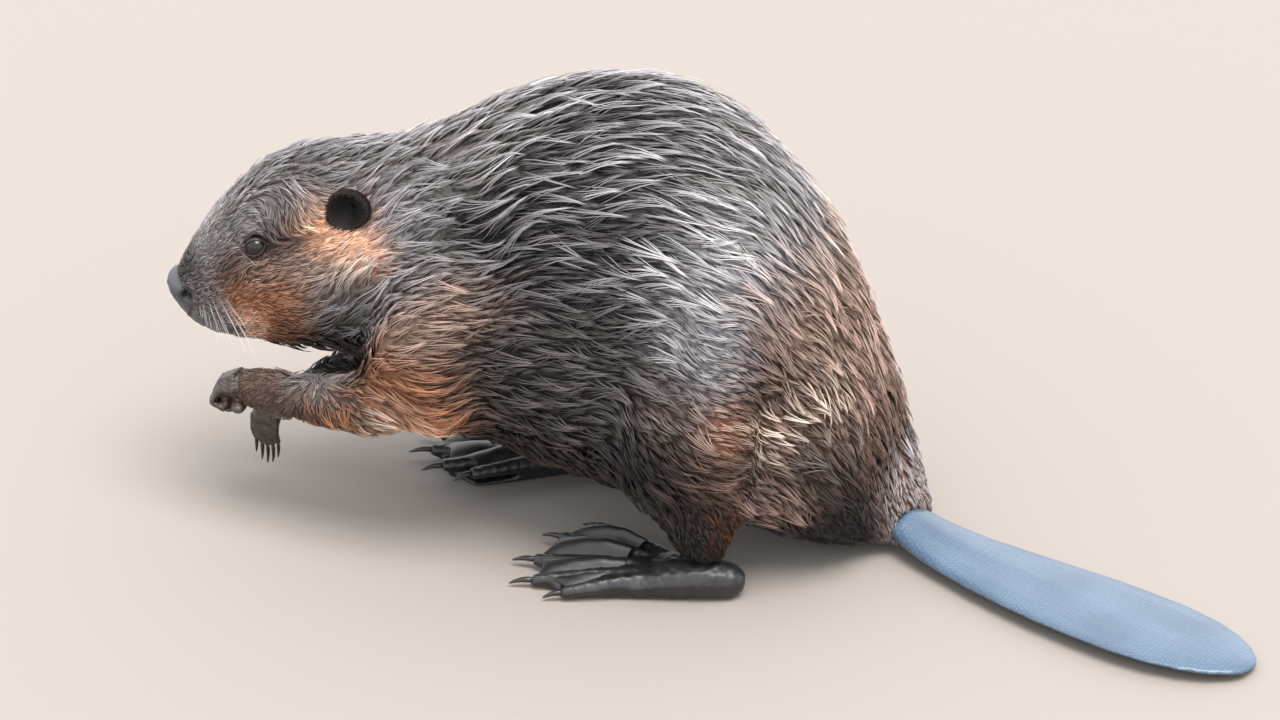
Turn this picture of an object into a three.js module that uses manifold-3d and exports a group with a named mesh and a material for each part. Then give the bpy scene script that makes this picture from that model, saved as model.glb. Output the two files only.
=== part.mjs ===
// A beaver that sits hunched on its hind feet and feeds: life size, still, in its wet coat.
// Each solid reaches out to the tips of the hair, and each one is a part that a person would name.
// Millimetres. The animal faces -Y, its left side is +X, and it rests on the floor at z = 0.
import * as THREE from 'three';
import { mergeVertices } from 'three/addons/utils/BufferGeometryUtils.js';
import { LoftGeometry } from 'three/addons/geometries/LoftGeometry.js';
import Module from 'manifold-3d';

const wasm = await Module();
wasm.setup();

// ---------------------------------------------------------------- driving sizes
const GAP = 0.3;                 // between two parts that meet

const NOSE_TIP = [18, -346, 176];
const HEAD_YAW = 8;              // degrees, nose turned to the animal's left
const HEAD_PITCH = 25;           // degrees, nose down
const HEAD_ROLL = 4;             // degrees, left cheek up
const EYE = { back: 83, rise: 14, out: 40, radius: 8.5 };
const EAR = { back: 160, rise: 17, out: 50, width: 17.5, height: 21, depth: 9, wall: 4 };

const TAIL_ROOT = [20, 200];
const TAIL_SWING = 30;           // degrees, tail swept to the animal's left
const TAIL_ROLL = 6;             // degrees, left edge a little off the floor

const ANKLE = { left: [108, 62], right: [-62, -38] };
const TOE_OUT = { left: 0, right: 4 };   // degrees

const COLOUR = {
  coat: 0x6d5a50, face: 0x8a6a55, limb: 0x7d5843, leather: 0x242429,
  tail: 0x4c5d70, ear: 0x17130f, eye: 0x0d0b0c, claw: 0x3a322c,
};

// ---------------------------------------------------------------- helpers
const Z_UP = new THREE.Vector3(0, 0, 1);
const Y_BACK = new THREE.Vector3(0, 1, 0);
const X_LEFT = new THREE.Vector3(1, 0, 0);
const vector = (point) => new THREE.Vector3(...point);
const radians = THREE.MathUtils.degToRad;

// A closed geometry as a solid that can be joined and cut.
function solidOf(geometry) {
  const bare = new THREE.BufferGeometry();
  bare.setAttribute('position', geometry.getAttribute('position'));
  bare.setIndex(geometry.index);
  const merged = mergeVertices(bare, 1e-3);
  return new wasm.Manifold(new wasm.Mesh({
    numProp: 3,
    vertProperties: new Float32Array(merged.attributes.position.array),
    triVerts: new Uint32Array(merged.index.array),
  }));
}

// One section of a lofted part: its middle, its half width, and how far it reaches up and down.
const section = (at, half, up = half, down = up) => (
  { at: vector(at), size: new THREE.Vector3(half, up, down) }
);

// A body lofted through sections that stand square to the curve through their middles. `ends` says
// how far each end reaches out as a dome, and without it the ends are flat. `grow` swells the body.
const DOME_ANGLE = radians(60);
function loft(sections, { upward = Z_UP, sides, steps, ends = null, grow }) {
  const line = new THREE.CatmullRomCurve3(sections.map((one) => one.at));
  const sizes = new THREE.CatmullRomCurve3(sections.map((one) => one.size));
  const ring = (share, offset, shrink) => {
    const along = line.getTangent(share);
    const across = new THREE.Vector3().crossVectors(upward, along).normalize();
    const up = new THREE.Vector3().crossVectors(along, across);
    const middle = line.getPoint(share).addScaledVector(along, offset);
    const size = sizes.getPoint(share).addScalar(grow).multiplyScalar(shrink);
    const points = [];
    for (let side = 0; side < sides; side += 1) {
      const angle = (side / sides) * 2 * Math.PI;
      const rise = Math.sin(angle);
      const point = middle.clone().addScaledVector(across, Math.cos(angle) * size.x);
      points.push(point.addScaledVector(up, rise * (rise > 0 ? size.y : size.z)));
    }
    return points;
  };
  const rings = [];
  for (let i = 0; i <= steps; i += 1) rings.push(ring(i / steps, 0, 1));
  if (ends) {
    const reach = ends.map((end) => Math.sin(DOME_ANGLE) * (end + grow));
    rings.unshift(ring(0, -reach[0], Math.cos(DOME_ANGLE)));
    rings.push(ring(1, reach[1], Math.cos(DOME_ANGLE)));
  }
  return solidOf(new LoftGeometry(rings, { capStart: true, capEnd: true }));
}

// An egg shape, faceted `round` times about and `rows` times down, with its own three directions.
function egg(middle, radii, { axes = [X_LEFT, Y_BACK, Z_UP], grow, round, rows }) {
  const geometry = new THREE.SphereGeometry(1, round, rows);
  geometry.scale(...radii.map((radius) => radius + grow));
  geometry.applyMatrix4(new THREE.Matrix4().makeBasis(...axes).setPosition(vector(middle)));
  return solidOf(geometry);
}

const cut = (solid, ...tools) => tools.reduce((rest, tool) => rest.subtract(tool), solid);
const join = (first, ...others) => others.reduce((sum, other) => sum.add(other), first);

// Everything below the floor is taken off, which leaves a small flat under what stands on it.
const BLOCK = 1400;              // the side of a block that is wider than the animal
const underFloor = solidOf(new THREE.BoxGeometry(BLOCK, BLOCK, BLOCK).translate(0, 0, -BLOCK / 2));

// ---------------------------------------------------------------- the head's own directions
const yaw = radians(HEAD_YAW);
const pitch = radians(HEAD_PITCH);
const headBack = Y_BACK.clone().applyAxisAngle(X_LEFT, pitch).applyAxisAngle(Z_UP, yaw);
const headLeft = X_LEFT.clone().applyAxisAngle(Z_UP, yaw).applyAxisAngle(headBack, -radians(HEAD_ROLL));
const headUp = new THREE.Vector3().crossVectors(headLeft, headBack);

// A point of the head: how far behind the nose tip, above it, and out to the left.
function headPoint(back, rise, out = 0) {
  return vector(NOSE_TIP)
    .addScaledVector(headBack, back)
    .addScaledVector(headUp, rise)
    .addScaledVector(headLeft, out)
    .toArray();
}

const eyeShape = (side, grow = 0) => egg(
  headPoint(EYE.back, EYE.rise, side * EYE.out),
  [EYE.radius, EYE.radius, EYE.radius],
  { grow, round: 9, rows: 6 },
);

// The bare leathery pad between and around the nostrils.
const NOSE = [
  // back, rise; half width, reach up, reach down
  [21, -5, 27, 14, 18],
  [12, -5, 25, 14, 17],
  [3, -6, 17, 11, 13],
];
const noseShape = (grow = 0) => loft(
  NOSE.map(([back, rise, half, up, down]) => section(headPoint(back, rise), half, up, down)),
  { upward: headUp, sides: 12, steps: 3, ends: [3, 1.5], grow },
);

// A short round ear, cupped, that opens outwards and a little forwards and leans back.
const EAR_OPENS_FORWARD = radians(30);
const EAR_LEANS_BACK = radians(14);

function earShape(side, grow = 0) {
  const outward = headLeft.clone().multiplyScalar(side * Math.cos(EAR_OPENS_FORWARD));
  outward.addScaledVector(headBack, -Math.sin(EAR_OPENS_FORWARD));
  const upward = headUp.clone().addScaledVector(headBack, Math.tan(EAR_LEANS_BACK));
  upward.addScaledVector(outward, -upward.dot(outward)).normalize();
  const axes = [new THREE.Vector3().crossVectors(upward, outward), upward, outward];
  const middle = headPoint(EAR.back, EAR.rise, side * EAR.out);
  const outer = egg(middle, [EAR.width, EAR.height, EAR.depth], { axes, grow, round: 10, rows: 7 });
  if (grow) return outer;
  const mouth = vector(middle).addScaledVector(outward, EAR.depth * 0.75).toArray();
  const inside = [EAR.width - EAR.wall, EAR.height - EAR.wall, EAR.depth * 0.9];
  return cut(outer, egg(mouth, inside, { axes, grow: 0, round: 8, rows: 6 }));
}

// The block below the mouth line, which parts the lower jaw from the head.
const JAW = { back: 72, rise: -84, width: 150, length: 84, height: 60, dip: 8 };

function jawBlock(grow = 0) {
  const block = new THREE.BoxGeometry(JAW.width, JAW.length + 2 * grow, JAW.height + 2 * grow);
  block.rotateX(radians(-JAW.dip));
  block.applyMatrix4(new THREE.Matrix4().makeBasis(headLeft, headBack, headUp));
  block.translate(...headPoint(JAW.back, JAW.rise));
  return solidOf(block);
}

// ---------------------------------------------------------------- head, neck and trunk in one
// A rib is one section of the body: its top and bottom points, its half width, and how far up the
// section its widest place lies, as a share of the height.
const HEAD_RIBS = [
  // top: back, rise; bottom: back, rise; half width; share
  [5, 2, 5, -19, 14, 0.50],
  [11, 8, 11, -32, 21, 0.46],
  [21, 16, 20, -46, 29, 0.44],
  [38, 29, 34, -60, 37, 0.41],
  [60, 44, 52, -77, 43, 0.41],
  [82, 55, 68, -88, 50, 0.42],
  [106, 62, 82, -95, 55, 0.43],
  [134, 62, 95, -102, 60, 0.45],
  [163, 53, 110, -113, 63, 0.47],
];
const NECK_RIBS = [
  // top: y, z; bottom: y, z; half width; share
  [-197, 295, -184, 107, 68, 0.48],
  [-171, 302, -166, 92, 75, 0.48],
];
const TRUNK_RIBS = [
  // y; top z; bottom z; half width; share
  [-140, 318, 76, 86, 0.45],
  [-105, 337, 61, 100, 0.44],
  [-65, 351, 49, 111, 0.42],
  [-25, 358, 38, 119, 0.40],
  [15, 357, 28, 124, 0.39],
  [55, 343, 22, 126, 0.39],
  [90, 314, 14, 123, 0.40],
  [120, 277, 6, 115, 0.41],
  [145, 236, 0, 103, 0.42],
  [166, 190, -3, 86, 0.42],
];
const RUMP_RIBS = [
  // x, y of the middle; top z; bottom z; half width; share; degrees turned towards the tail
  [1, 181, 139, -3, 66, 0.42, 6],
  [4, 191, 86, -2, 49, 0.43, 13],
  [10, 199, 55, 0, 38, 0.45, 21],
  [18, 205, 36, 3, 32, 0.48, 27],
  [25, 210, 27, 6, 28, 0.50, 30],
];
const BODY_SIDES = 20;
const BODY_FULLNESS = 1.08;

function rib(top, bottom, across, half, share) {
  const rise = vector(top).sub(vector(bottom));
  const middle = vector(bottom).addScaledVector(rise, share);
  const up = rise.clone().multiplyScalar(1 - share);
  return { middle, across, up, down: rise.multiplyScalar(share), half };
}

function ribRing({ middle, across, up, down, half }) {
  const points = [];
  for (let side = 0; side < BODY_SIDES; side += 1) {
    const angle = (side / BODY_SIDES) * 2 * Math.PI;
    const x = Math.sign(Math.cos(angle)) * Math.abs(Math.cos(angle)) ** (1 / BODY_FULLNESS);
    const z = Math.sign(Math.sin(angle)) * Math.abs(Math.sin(angle)) ** (1 / BODY_FULLNESS);
    points.push(middle.clone().addScaledVector(across, -x * half).addScaledVector(z > 0 ? up : down, z));
  }
  return points;
}

// The flesh from the nose to the root of the tail, which is parted afterwards.
function bodyShape() {
  const ribs = [
    ...HEAD_RIBS.map(([topBack, topRise, bottomBack, bottomRise, half, share]) => (
      rib(headPoint(topBack, topRise), headPoint(bottomBack, bottomRise), headLeft, half, share))),
    ...NECK_RIBS.map(([topY, topZ, bottomY, bottomZ, half, share]) => (
      rib([0, topY, topZ], [0, bottomY, bottomZ], X_LEFT, half, share))),
    ...TRUNK_RIBS.map(([y, topZ, bottomZ, half, share]) => (
      rib([0, y, topZ], [0, y, bottomZ], X_LEFT, half, share))),
    ...RUMP_RIBS.map(([x, y, topZ, bottomZ, half, share, turn]) => {
      const across = X_LEFT.clone().applyAxisAngle(Z_UP, -radians(turn));
      return rib([x, y, topZ], [x, y, bottomZ], across, half, share);
    }),
  ];
  return solidOf(new LoftGeometry(ribs.map(ribRing), { capStart: true, capEnd: true }));
}

// The cuts across the body, each from a point on the back to one below it, as y and z.
const CUTS = {
  neck: [[-174, 300], [-206, 110]],
  trunk: [[-124, 330], [-164, 90]],
  tail: [[176, 150], [182, 0]],
};

// Everything ahead of a cut, which is moved back by `shift`.
function ahead(name, shift = 0) {
  const [[topY, topZ], [bottomY, bottomZ]] = CUTS[name];
  const block = new THREE.BoxGeometry(BLOCK, BLOCK, BLOCK);
  block.translate(0, shift - BLOCK / 2, 0);
  block.rotateX(-Math.atan2(topY - bottomY, topZ - bottomZ));
  return solidOf(block.translate(0, bottomY, bottomZ));
}

// ---------------------------------------------------------------- tail
// The flat scaly paddle. It swings to the left, with its left edge a little off the floor.
const tailSwing = radians(TAIL_SWING);
const tailRoll = radians(TAIL_ROLL);
const tailAlong = new THREE.Vector3(Math.sin(tailSwing), Math.cos(tailSwing), 0);
const tailOut = new THREE.Vector3(Math.cos(tailSwing), -Math.sin(tailSwing), 0);
const tailUp = Z_UP.clone().applyAxisAngle(tailAlong, -tailRoll);
const tailPoint = (along, height) => [
  TAIL_ROOT[0] + tailAlong.x * along, TAIL_ROOT[1] + tailAlong.y * along, height,
];

const PADDLE = [
  // along from the root; height of the middle; half width; half thickness
  [0, 19, 22, 10.5],
  [18, 14, 27, 10.5],
  [45, 10, 33, 9],
  [85, 8, 41, 7.5],
  [125, 7.5, 47, 6.5],
  [170, 7.5, 51, 6],
  [215, 7.5, 51, 5.5],
  [252, 7.5, 45, 5],
  [280, 7, 33, 4.5],
  [297, 6.5, 17, 3.5],
];
const tailShape = (grow = 0) => loft(
  PADDLE.map(([along, height, half, thick]) => section(tailPoint(along, height), half, thick)),
  { upward: tailUp, sides: 14, steps: 12, ends: [3, 6], grow },
);

// ---------------------------------------------------------------- arms and hands
const UPPER_ARM = [
  // out, y, z; radius
  [62, -128, 214, 38],
  [68, -141, 180, 45],
  [73, -157, 149, 39],
  [74, -168, 128, 31],
];
const upperArmShape = (side, grow = 0) => loft(
  UPPER_ARM.map(([out, y, z, radius]) => section([side * out, y, z], radius)),
  { upward: Y_BACK, sides: 10, steps: 3, ends: [18, 14], grow },
);

const FOREARM = {
  left: [[[75, -166, 120], 30], [[70, -205, 116], 26.5], [[59, -250, 113], 21.5], [[48, -284, 112], 16]],
  right: [[[-74, -164, 106], 30], [[-63, -207, 79], 25], [[-45, -248, 67], 19], [[-29, -276, 63], 14]],
};
const forearmShape = (name, grow = 0) => loft(
  FOREARM[name].map(([at, radius]) => section(at, radius)),
  { sides: 10, steps: 3, ends: [14, 6], grow },
);

// A hand is a palm and five digits. Each digit is a bent rod that ends in a claw of its own.
const DIGITS = 5;
const HAND = {
  left: {
    palm: [[[50, -287, 113], 14, 13], [[46, -298, 110], 13, 9], [[45, -303, 104], 12, 6]],
    digit: [[-4, 4], [-13, -4], [-7, -13], [1, -16]],
    claw: [[1, -16], [8, -16], [14, -12]],
    from: [45, -299, 107],
    spread: 5.6,
    turn: 0,
  },
  right: {
    palm: [[[-28, -279, 63], 13, 12], [[-24, -282, 53], 13, 9], [[-21, -284, 43], 12, 6]],
    digit: [[-1, 5], [-3, -5], [-1, -14], [2, -21]],
    claw: [[2, -21], [3, -30], [1, -37]],
    from: [-21, -284, 43],
    spread: 4.7,
    turn: radians(70),           // the hanging hand shows its broad back to the side
  },
};
const DIGIT_RADIUS = [3.2, 2.9, 2.7, 2.3];
const CLAW_RADIUS = [1.9, 1.5, 0.5];
const OUTER_DIGIT_LOSS = 0.05;   // of its reach, times its place from the middle squared

// The middle digit reaches furthest, the outer ones are shorter and stand aside.
function digitPoint(hand, index, [forth, height]) {
  const aside = index - (DIGITS - 1) / 2;
  const reach = 1 - OUTER_DIGIT_LOSS * aside * aside;
  const [x, y, z] = hand.from;
  const sideways = aside * hand.spread;
  const forwards = forth * reach;
  return [
    x + sideways * Math.cos(hand.turn) - forwards * Math.sin(hand.turn),
    y + sideways * Math.sin(hand.turn) + forwards * Math.cos(hand.turn),
    z + height * reach,
  ];
}

const clawShape = (points, stout, grow) => loft(
  points.map((at, i) => section(at, CLAW_RADIUS[i] * stout)),
  { upward: X_LEFT, sides: 5, steps: 2, grow },
);

const handClaw = (name, index, grow = 0) => clawShape(
  HAND[name].claw.map((step) => digitPoint(HAND[name], index, step)), 1, grow,
);

function handShape(name, grow = 0) {
  const hand = HAND[name];
  const palmUp = Y_BACK.clone().applyAxisAngle(Z_UP, hand.turn);
  const palm = loft(
    hand.palm.map(([at, half, thick]) => section(at, half, thick)),
    { upward: name === 'right' ? palmUp : Z_UP, sides: 6, steps: 2, ends: [4, 4], grow },
  );
  const digits = [];
  for (let index = 0; index < DIGITS; index += 1) {
    const sections = hand.digit.map((step, i) => section(digitPoint(hand, index, step), DIGIT_RADIUS[i]));
    digits.push(loft(sections, { upward: X_LEFT, sides: 5, steps: 2, ends: [2, 2.5], grow }));
  }
  return join(palm, ...digits);
}

// ---------------------------------------------------------------- legs and feet
const THIGH_RADII = [46, 71, 84];
const LEG = {
  left: {
    thigh: [95, 54, 125],
    shin: [
      [[96, 50, 94], 28, 38],
      [[105, 58, 71], 29, 38],
      [[109, 60, 47], 23, 27],
      [[109, 63, 27], 18, 19],
    ],
  },
  right: {
    thigh: [-92, 12, 120],
    shin: [
      [[-92, -4, 90], 28, 38],
      [[-86, -18, 67], 28, 36],
      [[-74, -31, 44], 21, 25],
      [[-64, -36, 27], 17, 18],
    ],
  },
};
const thighShape = (name, grow = 0) => egg(LEG[name].thigh, THIGH_RADII, { grow, round: 14, rows: 8 });
const shinShape = (name, grow = 0) => loft(
  LEG[name].shin.map(([at, half, deep]) => section(at, half, deep)),
  { upward: Y_BACK, sides: 10, steps: 3, ends: [14, 8], grow },
);

// Toe tips, from the inner toe to the outer one: out to the side, ahead of the ankle, and height.
const TOES = [[-56, 86, 15], [-43, 111, 12], [-15, 126, 8], [11, 124, 6], [26, 100, 6]];
const TOE_RADIUS = [9, 7.5, 5.5];
const TOE_ROOT = { out: 0.25, ahead: 0.1, further: 12, height: 13 };
const KNUCKLE = { out: 0.66, ahead: 0.55, further: 10, rise: 8 };
const HIND_CLAW = { stout: 1.6, root: 0.99, middle: 1.07, tip: 1.14, rise: 0.5, drop: 3 };
const WEB = { thick: 4, low: 1.5, inner: -14, outer: 16, back: 8, corner: 0.97, scallop: 0.92 };
const SOLE = [
  // out, ahead, height of the middle; half width, reach up, reach down
  [2, -22, 13, 13, 12, 15],
  [2, 0, 15, 18, 15, 17],
  [0, 24, 13, 22, 13, 14],
  [-4, 48, 9, 27, 9, 9],
];

// A place on a foot, from the ankle: out to the side, ahead, and height.
function footPoint(name, out, forth, height) {
  const side = name === 'left' ? 1 : -1;
  const turn = radians(TOE_OUT[name]);
  const [x, y] = ANKLE[name];
  const along = forth * Math.cos(turn) - out * Math.sin(turn);
  const aside = out * Math.cos(turn) + forth * Math.sin(turn);
  return [x + side * aside, y - along, height];
}

// A toe rises a little from the sole to its knuckle and comes down to its tip.
function toePoints(name, [out, forth, height]) {
  const at = (joint, z) => footPoint(name, out * joint.out, joint.further + forth * joint.ahead, z);
  return [
    at(TOE_ROOT, TOE_ROOT.height),
    at(KNUCKLE, height / 2 + KNUCKLE.rise),
    footPoint(name, out, forth, height),
  ];
}

// The hind claws are broad and blunt.
function footClaw(name, index, grow = 0) {
  const [out, forth, height] = TOES[index];
  const at = (share, rise) => footPoint(name, out * share, forth * share, height + rise);
  const claw = [at(HIND_CLAW.root, HIND_CLAW.rise), at(HIND_CLAW.middle, HIND_CLAW.rise)];
  return clawShape([...claw, at(HIND_CLAW.tip, -HIND_CLAW.drop)], HIND_CLAW.stout, grow);
}

// The web is a fan between the toes, scalloped at its edge.
function webShape(name, grow = 0) {
  const flat = (out, forth) => footPoint(name, out, forth, 0).slice(0, 2);
  const outline = new THREE.Shape();
  outline.moveTo(...flat(WEB.inner, WEB.back));
  TOES.forEach(([out, forth], i) => {
    const corner = flat(out * WEB.corner, forth * WEB.corner);
    if (i === 0) {
      outline.lineTo(...corner);
      return;
    }
    const [lastOut, lastForth] = TOES[i - 1];
    const share = WEB.scallop / 2;
    outline.quadraticCurveTo(...flat((out + lastOut) * share, (forth + lastForth) * share), ...corner);
  });
  outline.lineTo(...flat(WEB.outer, WEB.back));
  const plate = new THREE.ExtrudeGeometry(outline, {
    depth: WEB.thick + 2 * grow, bevelEnabled: false, curveSegments: 2,
  });
  return solidOf(plate.translate(0, 0, WEB.low - grow));
}

function footShape(name, grow = 0) {
  const sole = loft(
    SOLE.map(([out, forth, height, ...size]) => section(footPoint(name, out, forth, height), ...size)),
    { sides: 9, steps: 3, ends: [9, 8], grow },
  );
  const toes = TOES.map((toe) => loft(
    toePoints(name, toe).map((at, i) => section(at, TOE_RADIUS[i])),
    { sides: 5, steps: 2, ends: [4, 3], grow },
  ));
  return join(sole, webShape(name, grow), ...toes);
}

// ---------------------------------------------------------------- the parts, none over another
const beaver = new THREE.Group();
const FUR_ROUGHNESS = 0.9;

function addPart(name, solid, colour, roughness = FUR_ROUGHNESS) {
  const mesh = cut(solid, underFloor).getMesh();
  const geometry = new THREE.BufferGeometry();
  geometry.setAttribute('position', new THREE.BufferAttribute(mesh.vertProperties, 3));
  geometry.setIndex(new THREE.BufferAttribute(mesh.triVerts, 1));
  geometry.computeVertexNormals();
  const part = new THREE.Mesh(geometry, new THREE.MeshStandardMaterial({ color: colour, roughness }));
  part.name = name;
  beaver.add(part);
}

const SIDES = { left: 1, right: -1 };
const names = Object.keys(SIDES);

const holesFor = (name) => [
  ...[eyeShape, earShape, upperArmShape].map((shape) => shape(SIDES[name], GAP)),
  ...[forearmShape, thighShape, shinShape, footShape].map((shape) => shape(name, GAP)),
];
const holes = [noseShape(GAP), tailShape(GAP), ...names.flatMap(holesFor)];
const body = cut(bodyShape(), ...holes);
const head = body.intersect(ahead('neck'));

addPart('head', cut(head, jawBlock(GAP)), COLOUR.face);
addPart('lower_jaw', head.intersect(jawBlock()), COLOUR.face);
addPart('nose', noseShape(), COLOUR.leather, 0.5);
addPart('neck', cut(body, ahead('neck', GAP)).intersect(ahead('trunk')), COLOUR.coat);
addPart('trunk', cut(body, ahead('trunk', GAP)).intersect(ahead('tail')), COLOUR.coat);
addPart('tail_base', cut(body, ahead('tail', GAP)), COLOUR.coat);
addPart('tail', tailShape(), COLOUR.tail, 0.4);

for (const name of names) {
  const side = SIDES[name];
  const handClaws = [];
  const footClaws = [];
  for (let index = 0; index < DIGITS; index += 1) {
    addPart(`hand_claw_${name}_${index + 1}`, handClaw(name, index), COLOUR.claw, 0.4);
    addPart(`foot_claw_${name}_${index + 1}`, footClaw(name, index), COLOUR.claw, 0.4);
    handClaws.push(handClaw(name, index, GAP));
    footClaws.push(footClaw(name, index, GAP));
  }
  addPart(`eye_${name}`, eyeShape(side), COLOUR.eye, 0.1);
  addPart(`ear_${name}`, earShape(side), COLOUR.ear);
  addPart(`upper_arm_${name}`, cut(upperArmShape(side), forearmShape(name, GAP)), COLOUR.limb);
  addPart(`forearm_${name}`, cut(forearmShape(name), handShape(name, GAP)), COLOUR.limb);
  addPart(`hand_${name}`, cut(handShape(name), ...handClaws), COLOUR.leather, 0.7);
  addPart(`thigh_${name}`, cut(thighShape(name), shinShape(name, GAP), footShape(name, GAP)), COLOUR.coat);
  addPart(`shin_${name}`, cut(shinShape(name), footShape(name, GAP)), COLOUR.limb);
  addPart(`foot_${name}`, cut(footShape(name), ...footClaws), COLOUR.leather, 0.5);
}

// The origin is on the floor, under the middle of the whole animal.
const box = new THREE.Box3().setFromObject(beaver);
const middle = box.getCenter(new THREE.Vector3());
beaver.position.set(-middle.x, -middle.y, -box.min.z);
beaver.updateMatrixWorld(true);

export default beaver;
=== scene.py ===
# %% [markdown]
# # A beaver that sits on its haunches and feeds
# The solids of the frame are the animal's outline, out to the tips of its wet coat. This lesson puts
# one smooth skin inside them, lays a coat of solid wet locks over it, and then makes what is bare:
# eyes and lids, nose, ears, whiskers, hands, webbed feet, claws and the scaly tail.

# %% The frame, and what every step uses
import math

import bmesh
import bpy
import numpy as np
from mathutils import Matrix, Vector
from mathutils.bvhtree import BVHTree
from mathutils.kdtree import KDTree


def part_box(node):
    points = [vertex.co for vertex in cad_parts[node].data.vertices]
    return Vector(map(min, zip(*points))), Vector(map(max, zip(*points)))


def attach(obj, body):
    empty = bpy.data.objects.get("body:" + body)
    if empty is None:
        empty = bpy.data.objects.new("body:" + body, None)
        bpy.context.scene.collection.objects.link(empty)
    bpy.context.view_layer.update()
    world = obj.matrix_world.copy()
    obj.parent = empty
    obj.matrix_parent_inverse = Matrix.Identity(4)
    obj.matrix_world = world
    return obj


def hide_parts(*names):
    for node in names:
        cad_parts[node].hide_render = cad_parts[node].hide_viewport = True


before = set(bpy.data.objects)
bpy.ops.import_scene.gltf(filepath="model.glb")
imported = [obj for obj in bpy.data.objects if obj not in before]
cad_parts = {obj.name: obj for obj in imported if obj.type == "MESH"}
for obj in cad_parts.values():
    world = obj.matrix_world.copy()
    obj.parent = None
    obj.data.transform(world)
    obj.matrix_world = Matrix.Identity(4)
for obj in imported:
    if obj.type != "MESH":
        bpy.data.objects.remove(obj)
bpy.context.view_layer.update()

MM = 0.001
SIDES = {"left": 1, "right": -1}
rng = np.random.default_rng(7)

# %% [markdown]
# ## The camera
# The animal is seen from its left, a little from behind and well from above, through a long lens, so
# that near and far parts keep almost the same scale. It looks at the middle of the body.

# %% Camera
CAMERA_AZIMUTH, CAMERA_ELEVATION = math.radians(98), math.radians(29)
CAMERA_TARGET = Vector((-24.7, -59.6, 128)) * MM
CAMERA_DISTANCE = 5191 * MM

towards = Vector((math.sin(CAMERA_AZIMUTH) * math.cos(CAMERA_ELEVATION),
                  -math.cos(CAMERA_AZIMUTH) * math.cos(CAMERA_ELEVATION), math.sin(CAMERA_ELEVATION)))
camera = bpy.data.objects.new("camera", bpy.data.cameras.new("camera"))
bpy.context.collection.objects.link(camera)
camera.data.lens = 200
camera.data.sensor_width = 36
camera.data.clip_end = 50
camera.location = CAMERA_TARGET + towards * CAMERA_DISTANCE
camera.rotation_euler = (-towards).to_track_quat("-Z", "Y").to_euler()
bpy.context.scene.camera = camera

# %% [markdown]
# ## The head's own directions
# The head is turned a little to the left, tilted and bent down, so its features are placed in its own
# directions: back from the nose tip, up, and out to the left. The middle between the eyes fixes them.

# %% Head directions
HEAD_YAW, HEAD_PITCH, HEAD_ROLL = math.radians(8), math.radians(25), math.radians(4)
EYE_BACK, EYE_RISE, EYE_OUT = 83, 14, 40


def middle(node):
    low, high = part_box(node)
    return (low + high) / 2


head_back = Matrix.Rotation(HEAD_YAW, 3, "Z") @ Matrix.Rotation(HEAD_PITCH, 3, "X") @ Vector((0, 1, 0))
head_left = Matrix.Rotation(-HEAD_ROLL, 3, head_back) @ Matrix.Rotation(HEAD_YAW, 3, "Z") @ Vector((1, 0, 0))
head_up = head_left.cross(head_back)
between_eyes = (middle("eye_left") + middle("eye_right")) / 2
nose_tip = between_eyes - (head_back * EYE_BACK + head_up * EYE_RISE) * MM


def on_head(back, rise, out=0):
    """A place on the head in metres, from its distances to the nose tip in millimetres."""
    return np.array(nose_tip + (head_back * back + head_up * rise + head_left * out) * MM)


def head_direction(back, rise, out=0):
    return np.array((head_back * back + head_up * rise + head_left * out).normalized())


print("eyes are", round((middle("eye_left") - middle("eye_right")).length / MM), "mm apart")

# %% [markdown]
# ## Meshes and arrays
# A skin with tens of thousands of vertices is shaped fastest as arrays of numbers. These helpers copy
# solids, read and write vertices, average over neighbours, and push places in or out as a thumb does.

# %% Mesh helpers


def solid_copy(nodes, swell=0.0):
    """Copies of solids in one bmesh, their loose triangles merged, swollen so that neighbours join."""
    shape = bmesh.new()
    for node in nodes:
        shape.from_mesh(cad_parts[node].data)
    bmesh.ops.remove_doubles(shape, verts=shape.verts, dist=0.001 * MM)
    shape.normal_update()
    for vertex in shape.verts:
        vertex.co += vertex.normal * swell
    return shape


def add_object(name, shape):
    """A linked object from a bmesh or a mesh, smooth shaded."""
    mesh = shape
    if isinstance(shape, bmesh.types.BMesh):
        mesh = bpy.data.meshes.new(name)
        shape.to_mesh(mesh)
        shape.free()
    mesh.name = name
    mesh.shade_smooth()
    made = bpy.data.objects.new(name, mesh)
    bpy.context.collection.objects.link(made)
    return made


def apply_modifiers(made):
    """Turns an object's modifiers into its mesh."""
    evaluated = made.evaluated_get(bpy.context.evaluated_depsgraph_get())
    mesh = bpy.data.meshes.new_from_object(evaluated)
    made.modifiers.clear()
    made.data = mesh
    mesh.shade_smooth()
    return made


def remeshed(name, nodes, voxel, swell=0.4 * MM, pads=()):
    """One closed surface of even squares round solids and pads (each a centre and three radii, mm)."""
    shape = solid_copy(nodes, swell)
    for centre, radii in pads:
        place = Matrix.Translation(Vector(centre) * MM) @ Matrix.Diagonal((*Vector(radii) * MM, 1))
        bmesh.ops.create_uvsphere(shape, u_segments=24, v_segments=16, radius=1, matrix=place)
    made = add_object(name, shape)
    remesh = made.modifiers.new("even squares", "REMESH")
    remesh.mode = "VOXEL"
    remesh.voxel_size = voxel
    return apply_modifiers(made)


def read(mesh, what="co"):
    values = np.empty(len(mesh.vertices) * 3, np.float32)
    mesh.vertices.foreach_get(what, values)
    return values.reshape(-1, 3).astype(float)


def write(mesh, points):
    mesh.vertices.foreach_set("co", points.astype(np.float32).ravel())
    mesh.update()


def edge_pairs(mesh):
    pairs = np.empty(len(mesh.edges) * 2, np.int32)
    mesh.edges.foreach_get("vertices", pairs)
    return pairs.reshape(-1, 2)


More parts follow.
